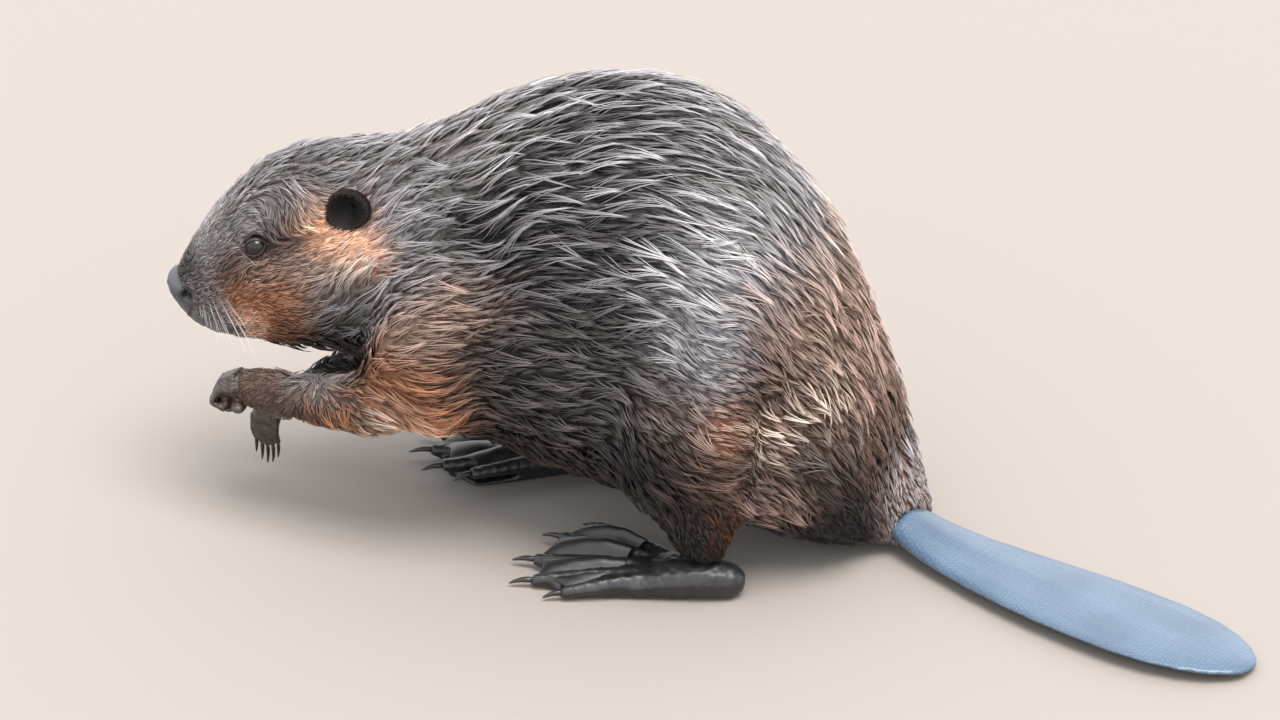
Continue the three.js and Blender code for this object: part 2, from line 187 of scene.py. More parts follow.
def neighbour_mean(values, pairs):
    """The average of each vertex's neighbours, for any number of columns."""
    count = len(values)
    first, second = pairs.T
    valence = np.bincount(first, minlength=count) + np.bincount(second, minlength=count)
    columns = [
        np.bincount(first, values[second, column], count) + np.bincount(second, values[first, column], count)
        for column in range(values.shape[1])
    ]
    return np.stack(columns, 1) / np.maximum(valence, 1)[:, None]


def smooth(points, pairs, rounds, share):
    """Moves each point towards its neighbours' mean; share is one number or one for each point."""
    share = np.broadcast_to(np.asarray(share, float), len(points))[:, None]
    for _ in range(rounds):
        points += share * (neighbour_mean(points, pairs) - points)
    return points


def unit(vectors):
    return vectors / np.maximum(np.linalg.norm(vectors, axis=-1, keepdims=True), 1e-12)


def push(points, place, reach, move):
    """Moves points near a place, most in its middle and not at all at its reach (in mm)."""
    near = 1 - (np.linalg.norm(points - place, axis=1) / (reach * MM)) ** 2
    points += (np.clip(near, 0, 1) ** 2)[:, None] * np.asarray(move) * MM


def line_distance(points, places):
    """Each point's distance to a line of places."""
    near = np.full(len(points), 1e9)
    for start, end in zip(places[:-1], places[1:]):
        along = end - start
        share = np.clip((points - start) @ along / (along @ along), 0, 1)
        near = np.minimum(near, np.linalg.norm(points - start - share[:, None] * along, axis=1))
    return near


def press_line(points, places, reach, move):
    """Presses a fold along a line of places, as deep all along."""
    weight = np.clip(1 - (line_distance(points, places) / (reach * MM)) ** 2, 0, 1) ** 2
    points += weight[:, None] * np.asarray(move) * MM


def waves(points, size, seed, count=5):
    """A smooth random field between about -1 and 1 whose waves are about `size` mm long."""
    wave = np.random.default_rng(seed)
    field = np.zeros(len(points))
    for _ in range(count):
        heading = wave.normal(size=3)
        heading *= wave.uniform(0.7, 1.5) * 2 * math.pi / (size * MM) / np.linalg.norm(heading)
        field += np.sin(points @ heading + wave.uniform(0, 2 * math.pi))
    return field / count * 1.6


# %% [markdown]
# ## Colours
# Colours are written as the hex values that a screen shows, and one function turns them to the linear
# light that Blender works in.

# %% Colour helper


def linear(code):
    """A hex colour as linear red, green and blue."""
    screen = np.array([int(code[i:i + 2], 16) / 255 for i in (0, 2, 4)])
    return np.where(screen <= 0.04045, screen / 12.92, ((screen + 0.055) / 1.055) ** 2.4)


# %% [markdown]
# ## A map of the coat
# On the real animal the coat changes from place to place: long and silver grey on the back, rusty on
# the arms, short on the face, pale orange below the ear. A wet beaver's hairs come in only a few
# colours, so they are named first, then the kinds of coat that it wears, and last the areas of the
# body that wear them. Some colours are painted light: the silver grey and bluish tips on top stand
# in part for the wet shine of the sky, and the near black below the body and in the folds is painted
# shade. The skin and the hair both read this map, so their markings agree, and every point of the
# skin mixes the areas near it.

# %% Hair colours
HAIR = {
    "frost": "dedbd8",       # the palest wet tips, on the rump and behind the ear: painted highlight of the wet shine
    "silver": "b0aaab",      # guard hair of the back, its pale grey partly painted sky reflection on the wet hair
    "steel": "8b888b",       # guard hair of the neck and sides, its blue partly painted sky reflection
    "ash": "6b635f",         # plain grey underfur
    "slate": "332e2d",       # dark gaps of the back: dark underfur with painted shade between the locks
    "pitch": "1b1918",       # near-black wet underfur, and painted shade under the belly and in the folds
    "umber": "47362d",       # dark brown of temple and wrist, and painted shade in the folds and under the body
    "dust": "765e51",        # grey brown of the hindquarters
    "fawn": "bfa294",        # pale brown tips of the hindquarters
    "cream": "f0dac8",       # pale locks of elbow, rump tufts and lip corner
    "apricot": "f2b993",     # the orange patch before and below the ear
    "cinnamon": "b97f5b",    # rusty arms and cheeks
    "chestnut": "7d5037",    # red brown under the rust
}

# %% Kinds of coat
COAT_KINDS = {               # length, depth and hair width in mm; clinging, evenness, guard hairs: 0 to 1
    "mantle": (48, 12.5, 0.85, 0.94, 0.18, 1.2),
    "rump": (42, 11, 0.85, 0.9, 0.32, 1.15),
    "side": (32, 9, 0.9, 0.84, 0.38, 0.6),
    "belly": (21, 8, 1.0, 0.8, 0.4, 0.25),
    "tufted": (20, 9, 1.2, 0.95, 0.17, 1.1),
    "thigh": (20, 7, 0.87, 0.76, 0.5, 0.45),
    "shank": (12, 4.4, 0.78, 0.66, 0.48, 0.3),
    "nape": (33, 9, 0.78, 0.88, 0.36, 0.95),
    "arm": (30, 7, 0.72, 0.9, 0.35, 0.85),
    "forearm": (17, 5.3, 0.67, 0.84, 0.4, 0.7),
    "wrist": (7, 1.5, 0.6, 0.6, 0.45, 0.3),
    "crown": (24, 7.5, 0.74, 0.88, 0.32, 1.0),
    "brow": (14, 4.5, 0.6, 0.65, 0.4, 0.75),
    "cheek": (13, 3.8, 0.53, 0.48, 0.52, 0.45),
    "muzzle": (6, 2.3, 0.5, 0.32, 0.58, 0.3),
}

# %% Coat areas
MIDLINE = -24.7          # mm: the body's middle plane; the head's places use its own directions


def on_body(x, y, z):
    """A place on the body in metres: x out from the midline, y and z of the frame, in mm."""
    return np.array((MIDLINE + x, y, z)) * MM


# Silver, steel and frost tips on the back, neck and rump are partly painted sky reflection. The near-black
# areas below, from chest and belly to the front of the thigh, the folds, shank, ankle and under the rump, are
# painted shade as well as dark fur.
BODY_COAT = {                # area: (place, reach, tip colour, root colour, kind of coat)
    "top of the back": ((0, -80, 350), 70, "silver", "slate", "mantle"),
    "upper side": ((60, -115, 300), 50, "silver", "slate", "mantle"),
    "withers": ((40, -170, 320), 36, "silver", "ash", "mantle"),
    "behind the neck": ((85, -160, 275), 28, "steel", "pitch", "mantle"),
    "upper flank": ((100, -95, 260), 40, "steel", "slate", "mantle"),
    "flank": ((115, -80, 210), 40, "ash", "slate", "side"),
    "lower flank": ((115, -90, 150), 38, "ash", "slate", "side"),
    "belly side": ((85, -105, 85), 36, "umber", "pitch", "belly"),
    "belly": ((0, -100, 40), 60, "umber", "pitch", "belly"),
    "chest": ((30, -250, 115), 36, "umber", "pitch", "belly"),
    "top of the rump": ((25, 0, 330), 44, "silver", "ash", "rump"),
    "back of the rump": ((15, 50, 290), 40, "silver", "ash", "rump"),
    "pale rump": ((85, 30, 260), 38, "frost", "steel", "rump"),
    "over the thigh": ((120, 0, 205), 30, "silver", "steel", "thigh"),
    "hind side": ((85, 65, 215), 32, "fawn", "dust", "side"),
    "hind end": ((45, 105, 170), 40, "fawn", "dust", "side"),
    "rump tufts": ((90, 90, 150), 26, "cream", "dust", "tufted"),
    "behind the fold": ((110, 55, 175), 22, "dust", "umber", "tufted"),
    "upper fold": ((125, 40, 160), 9, "umber", "pitch", "shank"),
    "lower fold": ((125, 40, 125), 9, "umber", "pitch", "shank"),
    "fold tufts": ((120, 55, 130), 16, "cream", "dust", "tufted"),
    "lower rump": ((100, 85, 105), 26, "ash", "umber", "side"),
    "under the fold": ((105, 65, 70), 18, "fawn", "umber", "thigh"),
    "under the rump": ((80, 100, 40), 24, "slate", "pitch", "shank"),
    "over the tail": ((30, 125, 70), 24, "dust", "umber", "thigh"),
    "tail root": ((20, 140, 45), 18, "silver", "dust", "shank"),
    "top of the thigh": ((130, -20, 165), 30, "ash", "umber", "thigh"),
    "back of the thigh": ((130, 25, 145), 18, "fawn", "chestnut", "thigh"),
    "middle of the thigh": ((140, -20, 120), 20, "umber", "pitch", "thigh"),
    "front of the thigh": ((130, -45, 95), 24, "pitch", "pitch", "thigh"),
    "behind the knee": ((135, 20, 105), 18, "dust", "umber", "thigh"),
    "shank": ((130, -10, 70), 20, "umber", "pitch", "shank"),
    "ankle": ((130, 0, 40), 18, "pitch", "pitch", "shank"),
    "heel": ((125, 25, 50), 15, "chestnut", "pitch", "shank"),
    "top of the neck": ((25, -225, 300), 36, "silver", "ash", "nape"),
    "side of the neck": ((85, -215, 235), 28, "silver", "ash", "nape"),
    "shoulder": ((100, -185, 210), 24, "fawn", "dust", "nape"),
    "behind the arm": ((100, -150, 165), 26, "ash", "slate", "side"),
    "top of the arm": ((105, -220, 185), 20, "fawn", "dust", "arm"),
    "arm": ((105, -225, 150), 22, "cinnamon", "chestnut", "arm"),
    "elbow": ((95, -220, 115), 20, "cream", "cinnamon", "arm"),
    "back of the arm": ((100, -190, 150), 22, "cinnamon", "umber", "arm"),
    "under the forearm": ((95, -260, 110), 18, "cinnamon", "umber", "forearm"),
    "side of the forearm": ((85, -295, 115), 14, "chestnut", "umber", "forearm"),
    "top of the forearm": ((70, -290, 135), 18, "silver", "ash", "forearm"),
    "wrist": ((70, -325, 120), 14, "dust", "umber", "wrist"),
}
# The throat's near black is painted shade under the chin; silver and steel tips on brow, crown and ruff are
# partly painted sky reflection.
HEAD_COAT = {                # the place is back from the nose tip, up, and out to the side
    "above the nose": ((25, 12, 0), 18, "ash", "slate", "muzzle"),
    "bridge": ((50, 30, 15), 24, "silver", "ash", "muzzle"),
    "brow": ((80, 35, 35), 18, "silver", "ash", "brow"),
    "forehead": ((100, 55, 15), 30, "silver", "ash", "crown"),
    "crown": ((150, 55, 15), 32, "steel", "ash", "crown"),
    "side of the crown": ((125, 40, 40), 20, "silver", "ash", "crown"),
    "temple": ((108, 18, 50), 15, "umber", "pitch", "brow"),
    "muzzle": ((30, -12, 35), 16, "steel", "umber", "muzzle"),
    "upper lip": ((32, -32, 32), 12, "steel", "ash", "muzzle"),
    "before the eye": ((58, 5, 40), 13, "dust", "umber", "brow"),
    "below the eye": ((78, -5, 48), 13, "fawn", "umber", "cheek"),
    "front of the cheek": ((56, -20, 42), 13, "cinnamon", "chestnut", "cheek"),
    "lip corner": ((52, -38, 42), 11, "cream", "cinnamon", "muzzle"),
    "cheek": ((82, -28, 52), 20, "cinnamon", "chestnut", "cheek"),
    "top of the cheek": ((110, -8, 56), 16, "fawn", "dust", "cheek"),
    "jowl": ((78, -54, 48), 15, "chestnut", "umber", "cheek"),
    "throat": ((95, -80, 25), 30, "umber", "pitch", "belly"),
    "before the ear": ((138, 12, 55), 17, "apricot", "apricot", "brow"),
    "below the ear": ((150, -8, 60), 18, "cream", "apricot", "cheek"),
    "behind the ear": ((185, 2, 66), 20, "silver", "steel", "nape"),
    "ruff": ((122, -40, 60), 24, "steel", "ash", "nape"),
}
coat_places, coat_reach, coat_values = [], [], []
for areas, placed in ((BODY_COAT, "body"), (HEAD_COAT, "head")):
    for (x, y, z), reach, tip, root, kind in areas.values():
        for side in SIDES.values():
            coat_places.append(on_head(x, y, z * side) if placed == "head" else on_body(x * side, y, z))
            coat_reach.append(reach * MM)
            coat_values.append([*linear(HAIR[tip]), *linear(HAIR[root]), *COAT_KINDS[kind]])
coat_places, coat_reach, coat_values = map(np.array, (coat_places, coat_reach, coat_values))


def coat_at(points):
    """The coat's values at each point: its two colours, its sizes in mm and its shares from 0 to 1."""
    mixed = np.zeros((len(points), coat_values.shape[1]))
    total = np.zeros(len(points))
    for place, reach, values in zip(coat_places, coat_reach, coat_values):
        apart = np.linalg.norm(points - place, axis=1) / reach
        weight = np.exp(-0.5 * (1.5 * apart) ** 2) / reach + 1e-9 / (1e-3 + apart ** 2)
        mixed += weight[:, None] * values
        total += weight
    mixed /= total[:, None]
    names = ("length", "depth", "width", "cling", "even", "over")
    numbers = {name: mixed[:, 6 + column] for column, name in enumerate(names)}
    return {"tip": mixed[:, 0:3], "root": mixed[:, 3:6], **numbers}


print("coat areas:", len(BODY_COAT) + len(HEAD_COAT), "in", len(HAIR), "hair colours")

# %% [markdown]
# ## One skin
# The solids of head, neck, trunk and limbs meet in straight cuts, but flesh has no seams. A voxel
# remesh wraps one closed surface around them all. Averaging the vertices rounds off the facets, most
# on the trunk and least on the face, and the surface then sinks in by the depth of the coat, so that
# the tips of the hair reach the outline that the solids give.

# %% Skin
SKIN_VOXEL = 3.4 * MM
LIMBS = [f"{part}_{side}" for part in ("upper_arm", "forearm", "thigh", "shin") for side in SIDES]
FLESH = ["head", "lower_jaw", "nose", "neck", "trunk", "tail_base", *LIMBS]


def refine(made, near):
    """Halves the squares of a surface wherever `near` says so."""
    fine = bmesh.new()
    fine.from_mesh(made.data)
    chosen = [edge for edge in fine.edges if all(near(vertex.co) for vertex in edge.verts)]
    bmesh.ops.subdivide_edges(fine, edges=chosen, cuts=1, use_grid_fill=True)
    bmesh.ops.triangulate(fine, faces=[face for face in fine.faces if len(face.verts) > 4])
    fine.to_mesh(made.data)
    fine.free()


def on_face(place):
    return (place - nose_tip).dot(head_back) < 112 * MM and (place - nose_tip).dot(head_up) > -76 * MM


def on_feature(place):
    eye_distance = min((place - middle_of_eye).length for middle_of_eye in eye_middles)
    return eye_distance < 17 * MM or (place - nose_tip).dot(head_back) < 34 * MM


eye_middles = [middle(f"eye_{side}") for side in SIDES]
skin = remeshed("skin", FLESH, SKIN_VOXEL)
refine(skin, on_face)
refine(skin, on_feature)

points = read(skin.data)
pairs = edge_pairs(skin.data)
from_nose = (points - nose_tip) @ np.array(head_back) / MM
softness = 0.25 + 0.75 * np.clip((from_nose - 60) / 120, 0, 1)
low_limb = np.clip((90 - points[:, 2] / MM) / 60, 0, 1) * (np.abs(points[:, 0] / MM - MIDLINE) > 60)
softness = np.maximum(softness - 0.4 * low_limb, 0.2)
points = smooth(points, pairs, 45, 0.5 * softness)
write(skin.data, points)
normals = read(skin.data, "normal")


def on_nose_pad(spots):
    """1 on the bare pad of the nose, 0 off it, with a soft edge."""
    back, rise, out = [(spots - np.array(nose_tip)) @ np.array(way) / MM
                       for way in (head_back, head_up, head_left)]
    size = np.sqrt(((back - 1) / 23) ** 2 + ((rise + 8) / 17) ** 2 + (out / 31) ** 2)
    return np.clip((1.06 - size) / 0.12, 0, 1)


depth = coat_at(points)["depth"] * (1 - on_nose_pad(points))
depth = smooth(depth[:, None], pairs, 10, 0.5)[:, 0]
points -= normals * (depth * MM)[:, None]
points = smooth(points, pairs, 6, 0.4)
write(skin.data, points)
print("skin:", len(points), "vertices; thickest coat", round(depth.max(), 1), "mm")

# %% [markdown]
# ## Modelling the face
# The head gets the folds that a sculptor would press into clay: sockets with a brow over them, the
# fold that runs from the eye down to the muzzle, full whisker pads, the mouth line with its lips, a
# groove below the nose and round cheeks. Each is a push at a named place or a fold along a line.

# %% Face


def mouth_line(side):
    """The places that the closed mouth runs through, from the front to its corner."""
    return [on_head(14, -37, 8 * side), on_head(26, -40, 20 * side), on_head(40, -42, 32 * side),
            on_head(54, -45, 40 * side)]


push(points, on_head(14, -32), 32, head_direction(-5, -6) * 7)
for side in (1, -1):
    outward = head_direction(0, 0, side)
    push(points, on_head(EYE_BACK, EYE_RISE, 42 * side), 17, outward * -3.5)
    push(points, on_head(78, 29, 36 * side), 15, head_direction(0, 0.6, side) * 3.0)
    push(points, on_head(98, 18, 44 * side), 12, outward * 1.2)
    push(points, on_head(84, -4, 44 * side), 13, outward * 1.8)
    press_line(points, [on_head(72, 8, 40 * side), on_head(58, -4, 37 * side), on_head(46, -18, 36 * side)],
               8, outward * -2.6)
    push(points, on_head(30, -22, 26 * side), 19, outward * 3.2)
    push(points, on_head(104, -36, 54 * side), 36, outward * 3.0)
    press_line(points, mouth_line(side), 5.5, head_direction(0.6, 0.1, -side) * 5.5)
    push(points, on_head(44, -51, 32 * side), 12, outward * 2.0)
    push(points, on_head(49, -36, 38 * side), 10, outward * 2.6)
    push(points, on_head(15, -7, 25 * side), 8, head_direction(0.5, 0.1, -side) * 4.5)
    push(points, on_head(14, -7, 22 * side), 4.5, head_direction(0.6, 0.1, -side) * 6)
    push(points, on_head(19, 0, 25 * side), 7, head_direction(0, 0.5, side) * 2.2)
press_line(points, [on_head(2, -6), on_head(3, -20), on_head(8, -34), on_head(14, -42)], 4,
           head_direction(1, 0) * 2.2)
points = smooth(points, pairs, 1, 0.4)

# %% [markdown]
# ## Folds of the body
# The hunched body folds where limbs leave it: behind the thigh, in front of it, behind the elbow and
# between cheek and shoulder. The right leg stands further forward than the left.

# %% Body folds
THIGH_SHIFT = {"left": 0, "right": -42}
for side, sign in SIDES.items():
    inward = np.array((-sign, 0, 0))
    shift = THIGH_SHIFT[side]

    def along(*places):
        return [on_body(x * sign, y + shift, z) for x, y, z in places]

    press_line(points, along((112, 62, 196), (124, 46, 160), (128, 40, 120), (122, 35, 84)), 17, inward * 17)
    push(points, along((108, 78, 160))[0], 40, (6 * sign, 3, 0))
    push(points, along((134, 0, 130))[0], 55, (7 * sign, 2, 0))
    push(points, along((118, 66, 120))[0], 34, (6 * sign, 2, 0))
    press_line(points, along((116, -56, 175), (118, -58, 140), (110, -50, 95)), 20, inward * 4)
    push(points, on_body(100 * sign, -196, 132), 42, (2 * sign, 9, -17))
    push(points, on_body(72 * sign, -190, 108), 40, (14 * sign, 0, -10))
    press_line(points, [on_body(92 * sign, -166, 190), on_body(98 * sign, -172, 160)], 17, inward * 5)
    press_line(points, [on_body(66 * sign, -236, 215), on_body(72 * sign, -246, 175)], 18, inward * 5)
points = smooth(points, pairs, 3, 0.4)
write(skin.data, points)
normals = read(skin.data, "normal")
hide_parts(*FLESH)
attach(skin, "root")
print("skin triangles:", sum(len(polygon.vertices) - 2 for polygon in skin.data.polygons))

# %% [markdown]
# ## The lie of the coat
# Hair points away from the nose over the head, backwards along the body and down over the rump, and
# down and back across the limbs. One direction for each part of the body, laid flat on the skin and
# averaged with its neighbours, gives a field that every lock follows.

# %% Lie of the coat


def part_of(spots):
    """For each spot, which of the solids in FLESH lies nearest."""
    corners, faces, owner = [], [], []
    for number, node in enumerate(FLESH):
        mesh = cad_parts[node].data
        start = len(corners)
        corners += [tuple(vertex.co) for vertex in mesh.vertices]
        faces += [[start + index for index in polygon.vertices] for polygon in mesh.polygons]
        owner += [number] * len(mesh.polygons)
    tree = BVHTree.FromPolygons(corners, faces)
    return np.array([owner[tree.find_nearest(spot)[2]] for spot in spots])


def lie_by_part(spots):
    """The way the hair points on each part, before it is laid on the skin: a list like FLESH."""
    back, rise, out = [(spots - np.array(nose_tip)) @ np.array(way) / MM
                       for way in (head_back, head_up, head_left)]
    y, z = spots[:, 1] / MM, spots[:, 2] / MM
    fringe = np.exp(-((back - 112) / 26) ** 2 - ((rise - 34) / 17) ** 2) * np.clip(np.abs(out) / 40, 0, 1)
    ruff = np.exp(-((back - 122) / 30) ** 2 - ((rise + 38) / 26) ** 2)
    from_pad = unit(spots - on_head(12, -10))
    near_pad = np.clip(1 - (back - 10) / 50, 0, 1)[:, None]
    head = np.array(head_back) * (1 - 0.5 * near_pad - 1.6 * fringe[:, None]) + from_pad * near_pad
    head = head + (0.45 * ruff - 1.4 * fringe)[:, None] * np.array(head_up)
    stations = [-210, -150, -100, -55, -10, 35, 90, 140]
    drop = np.interp(y, stations, [-0.45, -0.32, -0.15, 0.05, 0.35, 0.85, 1.5, 1.6])
    trunk = np.stack([np.zeros(len(spots)), np.ones(len(spots)), -drop], 1)
    from_wrist = np.stack([np.zeros(len(spots)), y + 292, z - 150], 1)
    reach = np.hypot(from_wrist[:, 1], from_wrist[:, 2])
    level = np.clip((reach - 40) / 60, 0, 1) * np.where(from_wrist[:, 2] > 0, 0.6, 1)
    arm = unit(from_wrist) * (1 - level)[:, None] + np.array((0, 1, 0)) * level[:, None]
    above = np.clip((z - 225) / 45, 0, 1)[:, None]
    neck = np.array((0, 1, 0.4)) * above + arm * (1 - above)
    even = {"lower_jaw": head_direction(1, 0.05), "tail_base": (0.45, 0.85, -0.45),
            "thigh": (0, 0.95, -0.35), "shin": (0, 0.35, -0.9)}
    varied = {"head": head, "trunk": trunk, "neck": neck, "upper_arm": arm, "forearm": arm}
    lies = []
    for node in FLESH:
        kind = node.replace("_left", "").replace("_right", "")
        lies.append(varied.get(kind, np.tile(even.get(kind, (0, 1, 0)), (len(spots), 1))))
    return lies


def lay_flat(vectors, upward):
    return unit(vectors - (vectors * upward).sum(1, keepdims=True) * upward)


pairs = edge_pairs(skin.data)
part = part_of(points)
share = smooth(np.eye(len(FLESH))[part], pairs, 14, 0.6)
lie = sum(share[:, [number]] * ways for number, ways in enumerate(lie_by_part(points)))
for _ in range(5):
    lie = lay_flat(smooth(lie, pairs, 2, 0.5), normals)


def part_around(spots, ways, place, reach):
    """Turns the hair aside near a place, so that it flows round it and not over it."""
    apart = spots - place
    distance = np.linalg.norm(apart, axis=1, keepdims=True)
    apart = apart / distance
    nearness = np.clip(1 - distance / (reach * MM), 0, 1)
    inwards = np.minimum((ways * apart).sum(1, keepdims=True), 0)
    return ways - 2.2 * np.sqrt(nearness) * inwards * apart + 0.35 * nearness * apart


for side in SIDES:
    lie = part_around(points, lie, np.array(middle(f"eye_{side}")), 15)
lie = lay_flat(lie, normals)
sway = 0.22 * waves(points, 70, seed=3) + 0.12 * waves(points, 28, seed=4)
lie = np.cos(sway)[:, None] * lie + np.sin(sway)[:, None] * np.cross(normals, lie)
print("parts of the skin:", dict(zip(FLESH, np.bincount(part, minlength=len(FLESH)).tolist())))

# %% [markdown]
# ## Locks
# A wet coat hangs in locks: many hairs that start apart and run together to one point. Each hair is a
# thin spike of three sides, and all are built at once as arrays. A hair walks over the skin in short
# steps along the lie of the coat, rises to the depth of the coat, and is drawn towards the middle
# hair of its lock. Each piece of coat takes its place on a flat unwrap of its own stretch of skin, so
# every hair keeps a small patch of the colour map to itself.

# %% Hair tools
PATCH = 0.003            # side of one hair's patch on the colour map


def four_corners(mesh):
    """Each face's vertices as rows of four; a triangle repeats its first."""
    return np.array([(tuple(polygon.vertices) * 2)[:4] if len(polygon.vertices) == 3
                     else tuple(polygon.vertices) for polygon in mesh.polygons])


class Ground:
    """A surface that hair grows on: it finds the nearest place, its normal and the lie of the coat."""

    def __init__(self, made, lies):
        spots, upward = read(made.data), read(made.data, "normal")
        corners = four_corners(made.data)
        self.made = made
        self.tree = BVHTree.FromPolygons(spots.tolist(), corners.tolist())
        self.normals = unit(upward[corners].mean(1))
        self.lies = unit(lies[corners].mean(1))

    def nearest(self, spots):
        found = [self.tree.find_nearest(spot) for spot in spots]
        faces = np.array([hit[2] for hit in found])
        return np.array([tuple(hit[0]) for hit in found]), self.normals[faces], self.lies[faces]


def flat_patch(made, chosen):
    """The chosen faces as triangles: their corners, and their corners on a flat unwrap."""
    shape = bmesh.new()
    shape.from_mesh(made.data)
    shape.faces.ensure_lookup_table()
    unwanted = [face for face, keep in zip(shape.faces[:], chosen) if not keep]
    bmesh.ops.delete(shape, geom=unwanted, context="FACES")
    bmesh.ops.triangulate(shape, faces=shape.faces)
    patch = add_object("patch", shape)
    bpy.context.view_layer.objects.active = patch
    patch.select_set(True)
    bpy.ops.object.mode_set(mode="EDIT")
    bpy.ops.mesh.select_all(action="SELECT")
    bpy.ops.uv.smart_project(angle_limit=math.radians(66), island_margin=0.004)
    bpy.ops.object.mode_set(mode="OBJECT")
    mesh = patch.data
    flat = np.empty(len(mesh.loops) * 2, np.float32)
    mesh.uv_layers.active.data.foreach_get("uv", flat)
    index = np.empty(len(mesh.loops), np.int32)
    mesh.loops.foreach_get("vertex_index", index)
    corners = read(mesh)[index].reshape(-1, 3, 3)
    bpy.data.objects.remove(patch)
    bpy.data.meshes.remove(mesh)
    return corners, flat.reshape(-1, 3, 2).astype(float)


def scatter(corners, flat, layers, length, width):
    """Hair roots spread over triangles so that hairs of the local size cover them in layers."""
    cross = np.cross(corners[:, 1] - corners[:, 0], corners[:, 2] - corners[:, 0])
    area = np.linalg.norm(cross, axis=1) / 2 / MM ** 2
    facing_down = -cross[:, 2] / np.maximum(np.linalg.norm(cross, axis=1), 1e-12)
    wanted = area * layers / (length * width) * np.where(facing_down > 0.6, 0.6, 1)
    running = np.cumsum(wanted)
    count = int(running[-1])
    chosen = np.searchsorted(running, (np.arange(count) + rng.random(count)) * running[-1] / count)
    first, second = rng.random((2, count))
    folded = first + second > 1
    first[folded], second[folded] = 1 - first[folded], 1 - second[folded]
    weights = np.stack([1 - first - second, first, second], 1)[:, :, None]
    return (corners[chosen] * weights).sum(1), (flat[chosen] * weights).sum(1)


def walk(ground, roots, stray, length, height, steps):
    """The middle line of every hair: from its root along the lie of the coat, up to its height.

    stray says how far a hair turns from the lie, in radians: one column at its root, one at its tip.
    """
    _, normal, heading = ground.nearest(roots)
    line = [roots - normal * 0.6 * MM]
    spot = roots
    for step in range(1, steps + 1):
        turn = (stray[:, :1] + (stray[:, 1:] - stray[:, :1]) * (step - 1) / steps)
        aside = np.cross(normal, heading)
        ahead = spot + (np.cos(turn) * heading + np.sin(turn) * aside) * (length / steps)[:, None]
        found, found_normal, found_lie = ground.nearest(ahead)
        lost = (np.linalg.norm(found - ahead, axis=1) > 0.7 * length / steps)[:, None]
        spot = np.where(lost, ahead, found)
        normal = unit(np.where(lost, normal, found_normal))
        heading = lay_flat(0.45 * heading + 0.55 * np.where(lost, heading, found_lie), normal)
        rise = np.sin(math.pi / 2 * min(1, 1.15 * step / steps))
        line.append(spot + normal * (height * rise)[:, None])
    return np.stack(line, 1)


def locks_of(roots, size):
    """Shares hairs out to locks round middle hairs: the middle hairs, and the lock of each hair."""
    count = max(1, len(roots) // size)
    middles = rng.permutation(len(roots))[:count]
    tree = KDTree(count)
    for number, root in enumerate(roots[middles]):
        tree.insert(root, number)
    tree.balance()
    return middles, np.array([tree.find(root)[1] for root in roots])


def gather(line, middles, lock, cling):
    """Draws the hairs of each lock together towards its middle hair."""
    guide = line[middles][lock]
    steps = line.shape[1] - 1
    pull = cling[:, None] * np.clip(1.45 * np.arange(steps + 1) / steps - 0.05, 0, 1) ** 0.75
    beside = (line[:, :1] - guide[:, :1]) * 0.06
    return line + pull[:, :, None] * (guide + beside - line)


def spikes(line, upward, width):
    """Closed spikes of three sides around middle lines: vertices and triangles."""
    count, rings = line.shape[0], line.shape[1] - 1
    along = np.concatenate([line[:, 1:] - line[:, :-1], line[:, -1:] - line[:, -2:-1]], 1)
    side = np.cross(along, upward[:, None, :])
    side /= np.maximum(np.linalg.norm(side, axis=2, keepdims=True), 1e-9)
    over = np.cross(side, along)
    over /= np.maximum(np.linalg.norm(over, axis=2, keepdims=True), 1e-9)
    taper = np.interp(np.arange(rings) / rings, [0, 0.35, 0.7, 1], [0.8, 1, 0.65, 0.3])
    half = (width[:, None] * taper / 2 * MM)[:, :, None]
    ring = [line[:, :-1] + side[:, :-1] * half - over[:, :-1] * half * 0.4,
            line[:, :-1] - side[:, :-1] * half - over[:, :-1] * half * 0.4,
            line[:, :-1] + over[:, :-1] * half * 0.9]
    body = np.stack(ring, 2).reshape(count, rings * 3, 3)
    vertices = np.concatenate([body, line[:, -1:]], 1)
    pattern = [(0, 1, 2)]
    for level in range(rings - 1):
        low, high = 3 * level, 3 * level + 3
        for one, two in ((0, 1), (1, 2), (2, 0)):
            pattern += [(low + one, high + one, high + two), (low + one, high + two, low + two)]
    last, tip = 3 * (rings - 1), 3 * rings
    pattern += [(last + one, tip, last + two) for one, two in ((0, 1), (1, 2), (2, 0))]
    starts = np.arange(count)[:, None, None] * (tip + 1)
    return vertices.reshape(-1, 3), (starts + np.array(pattern)[None]).reshape(-1, 3)


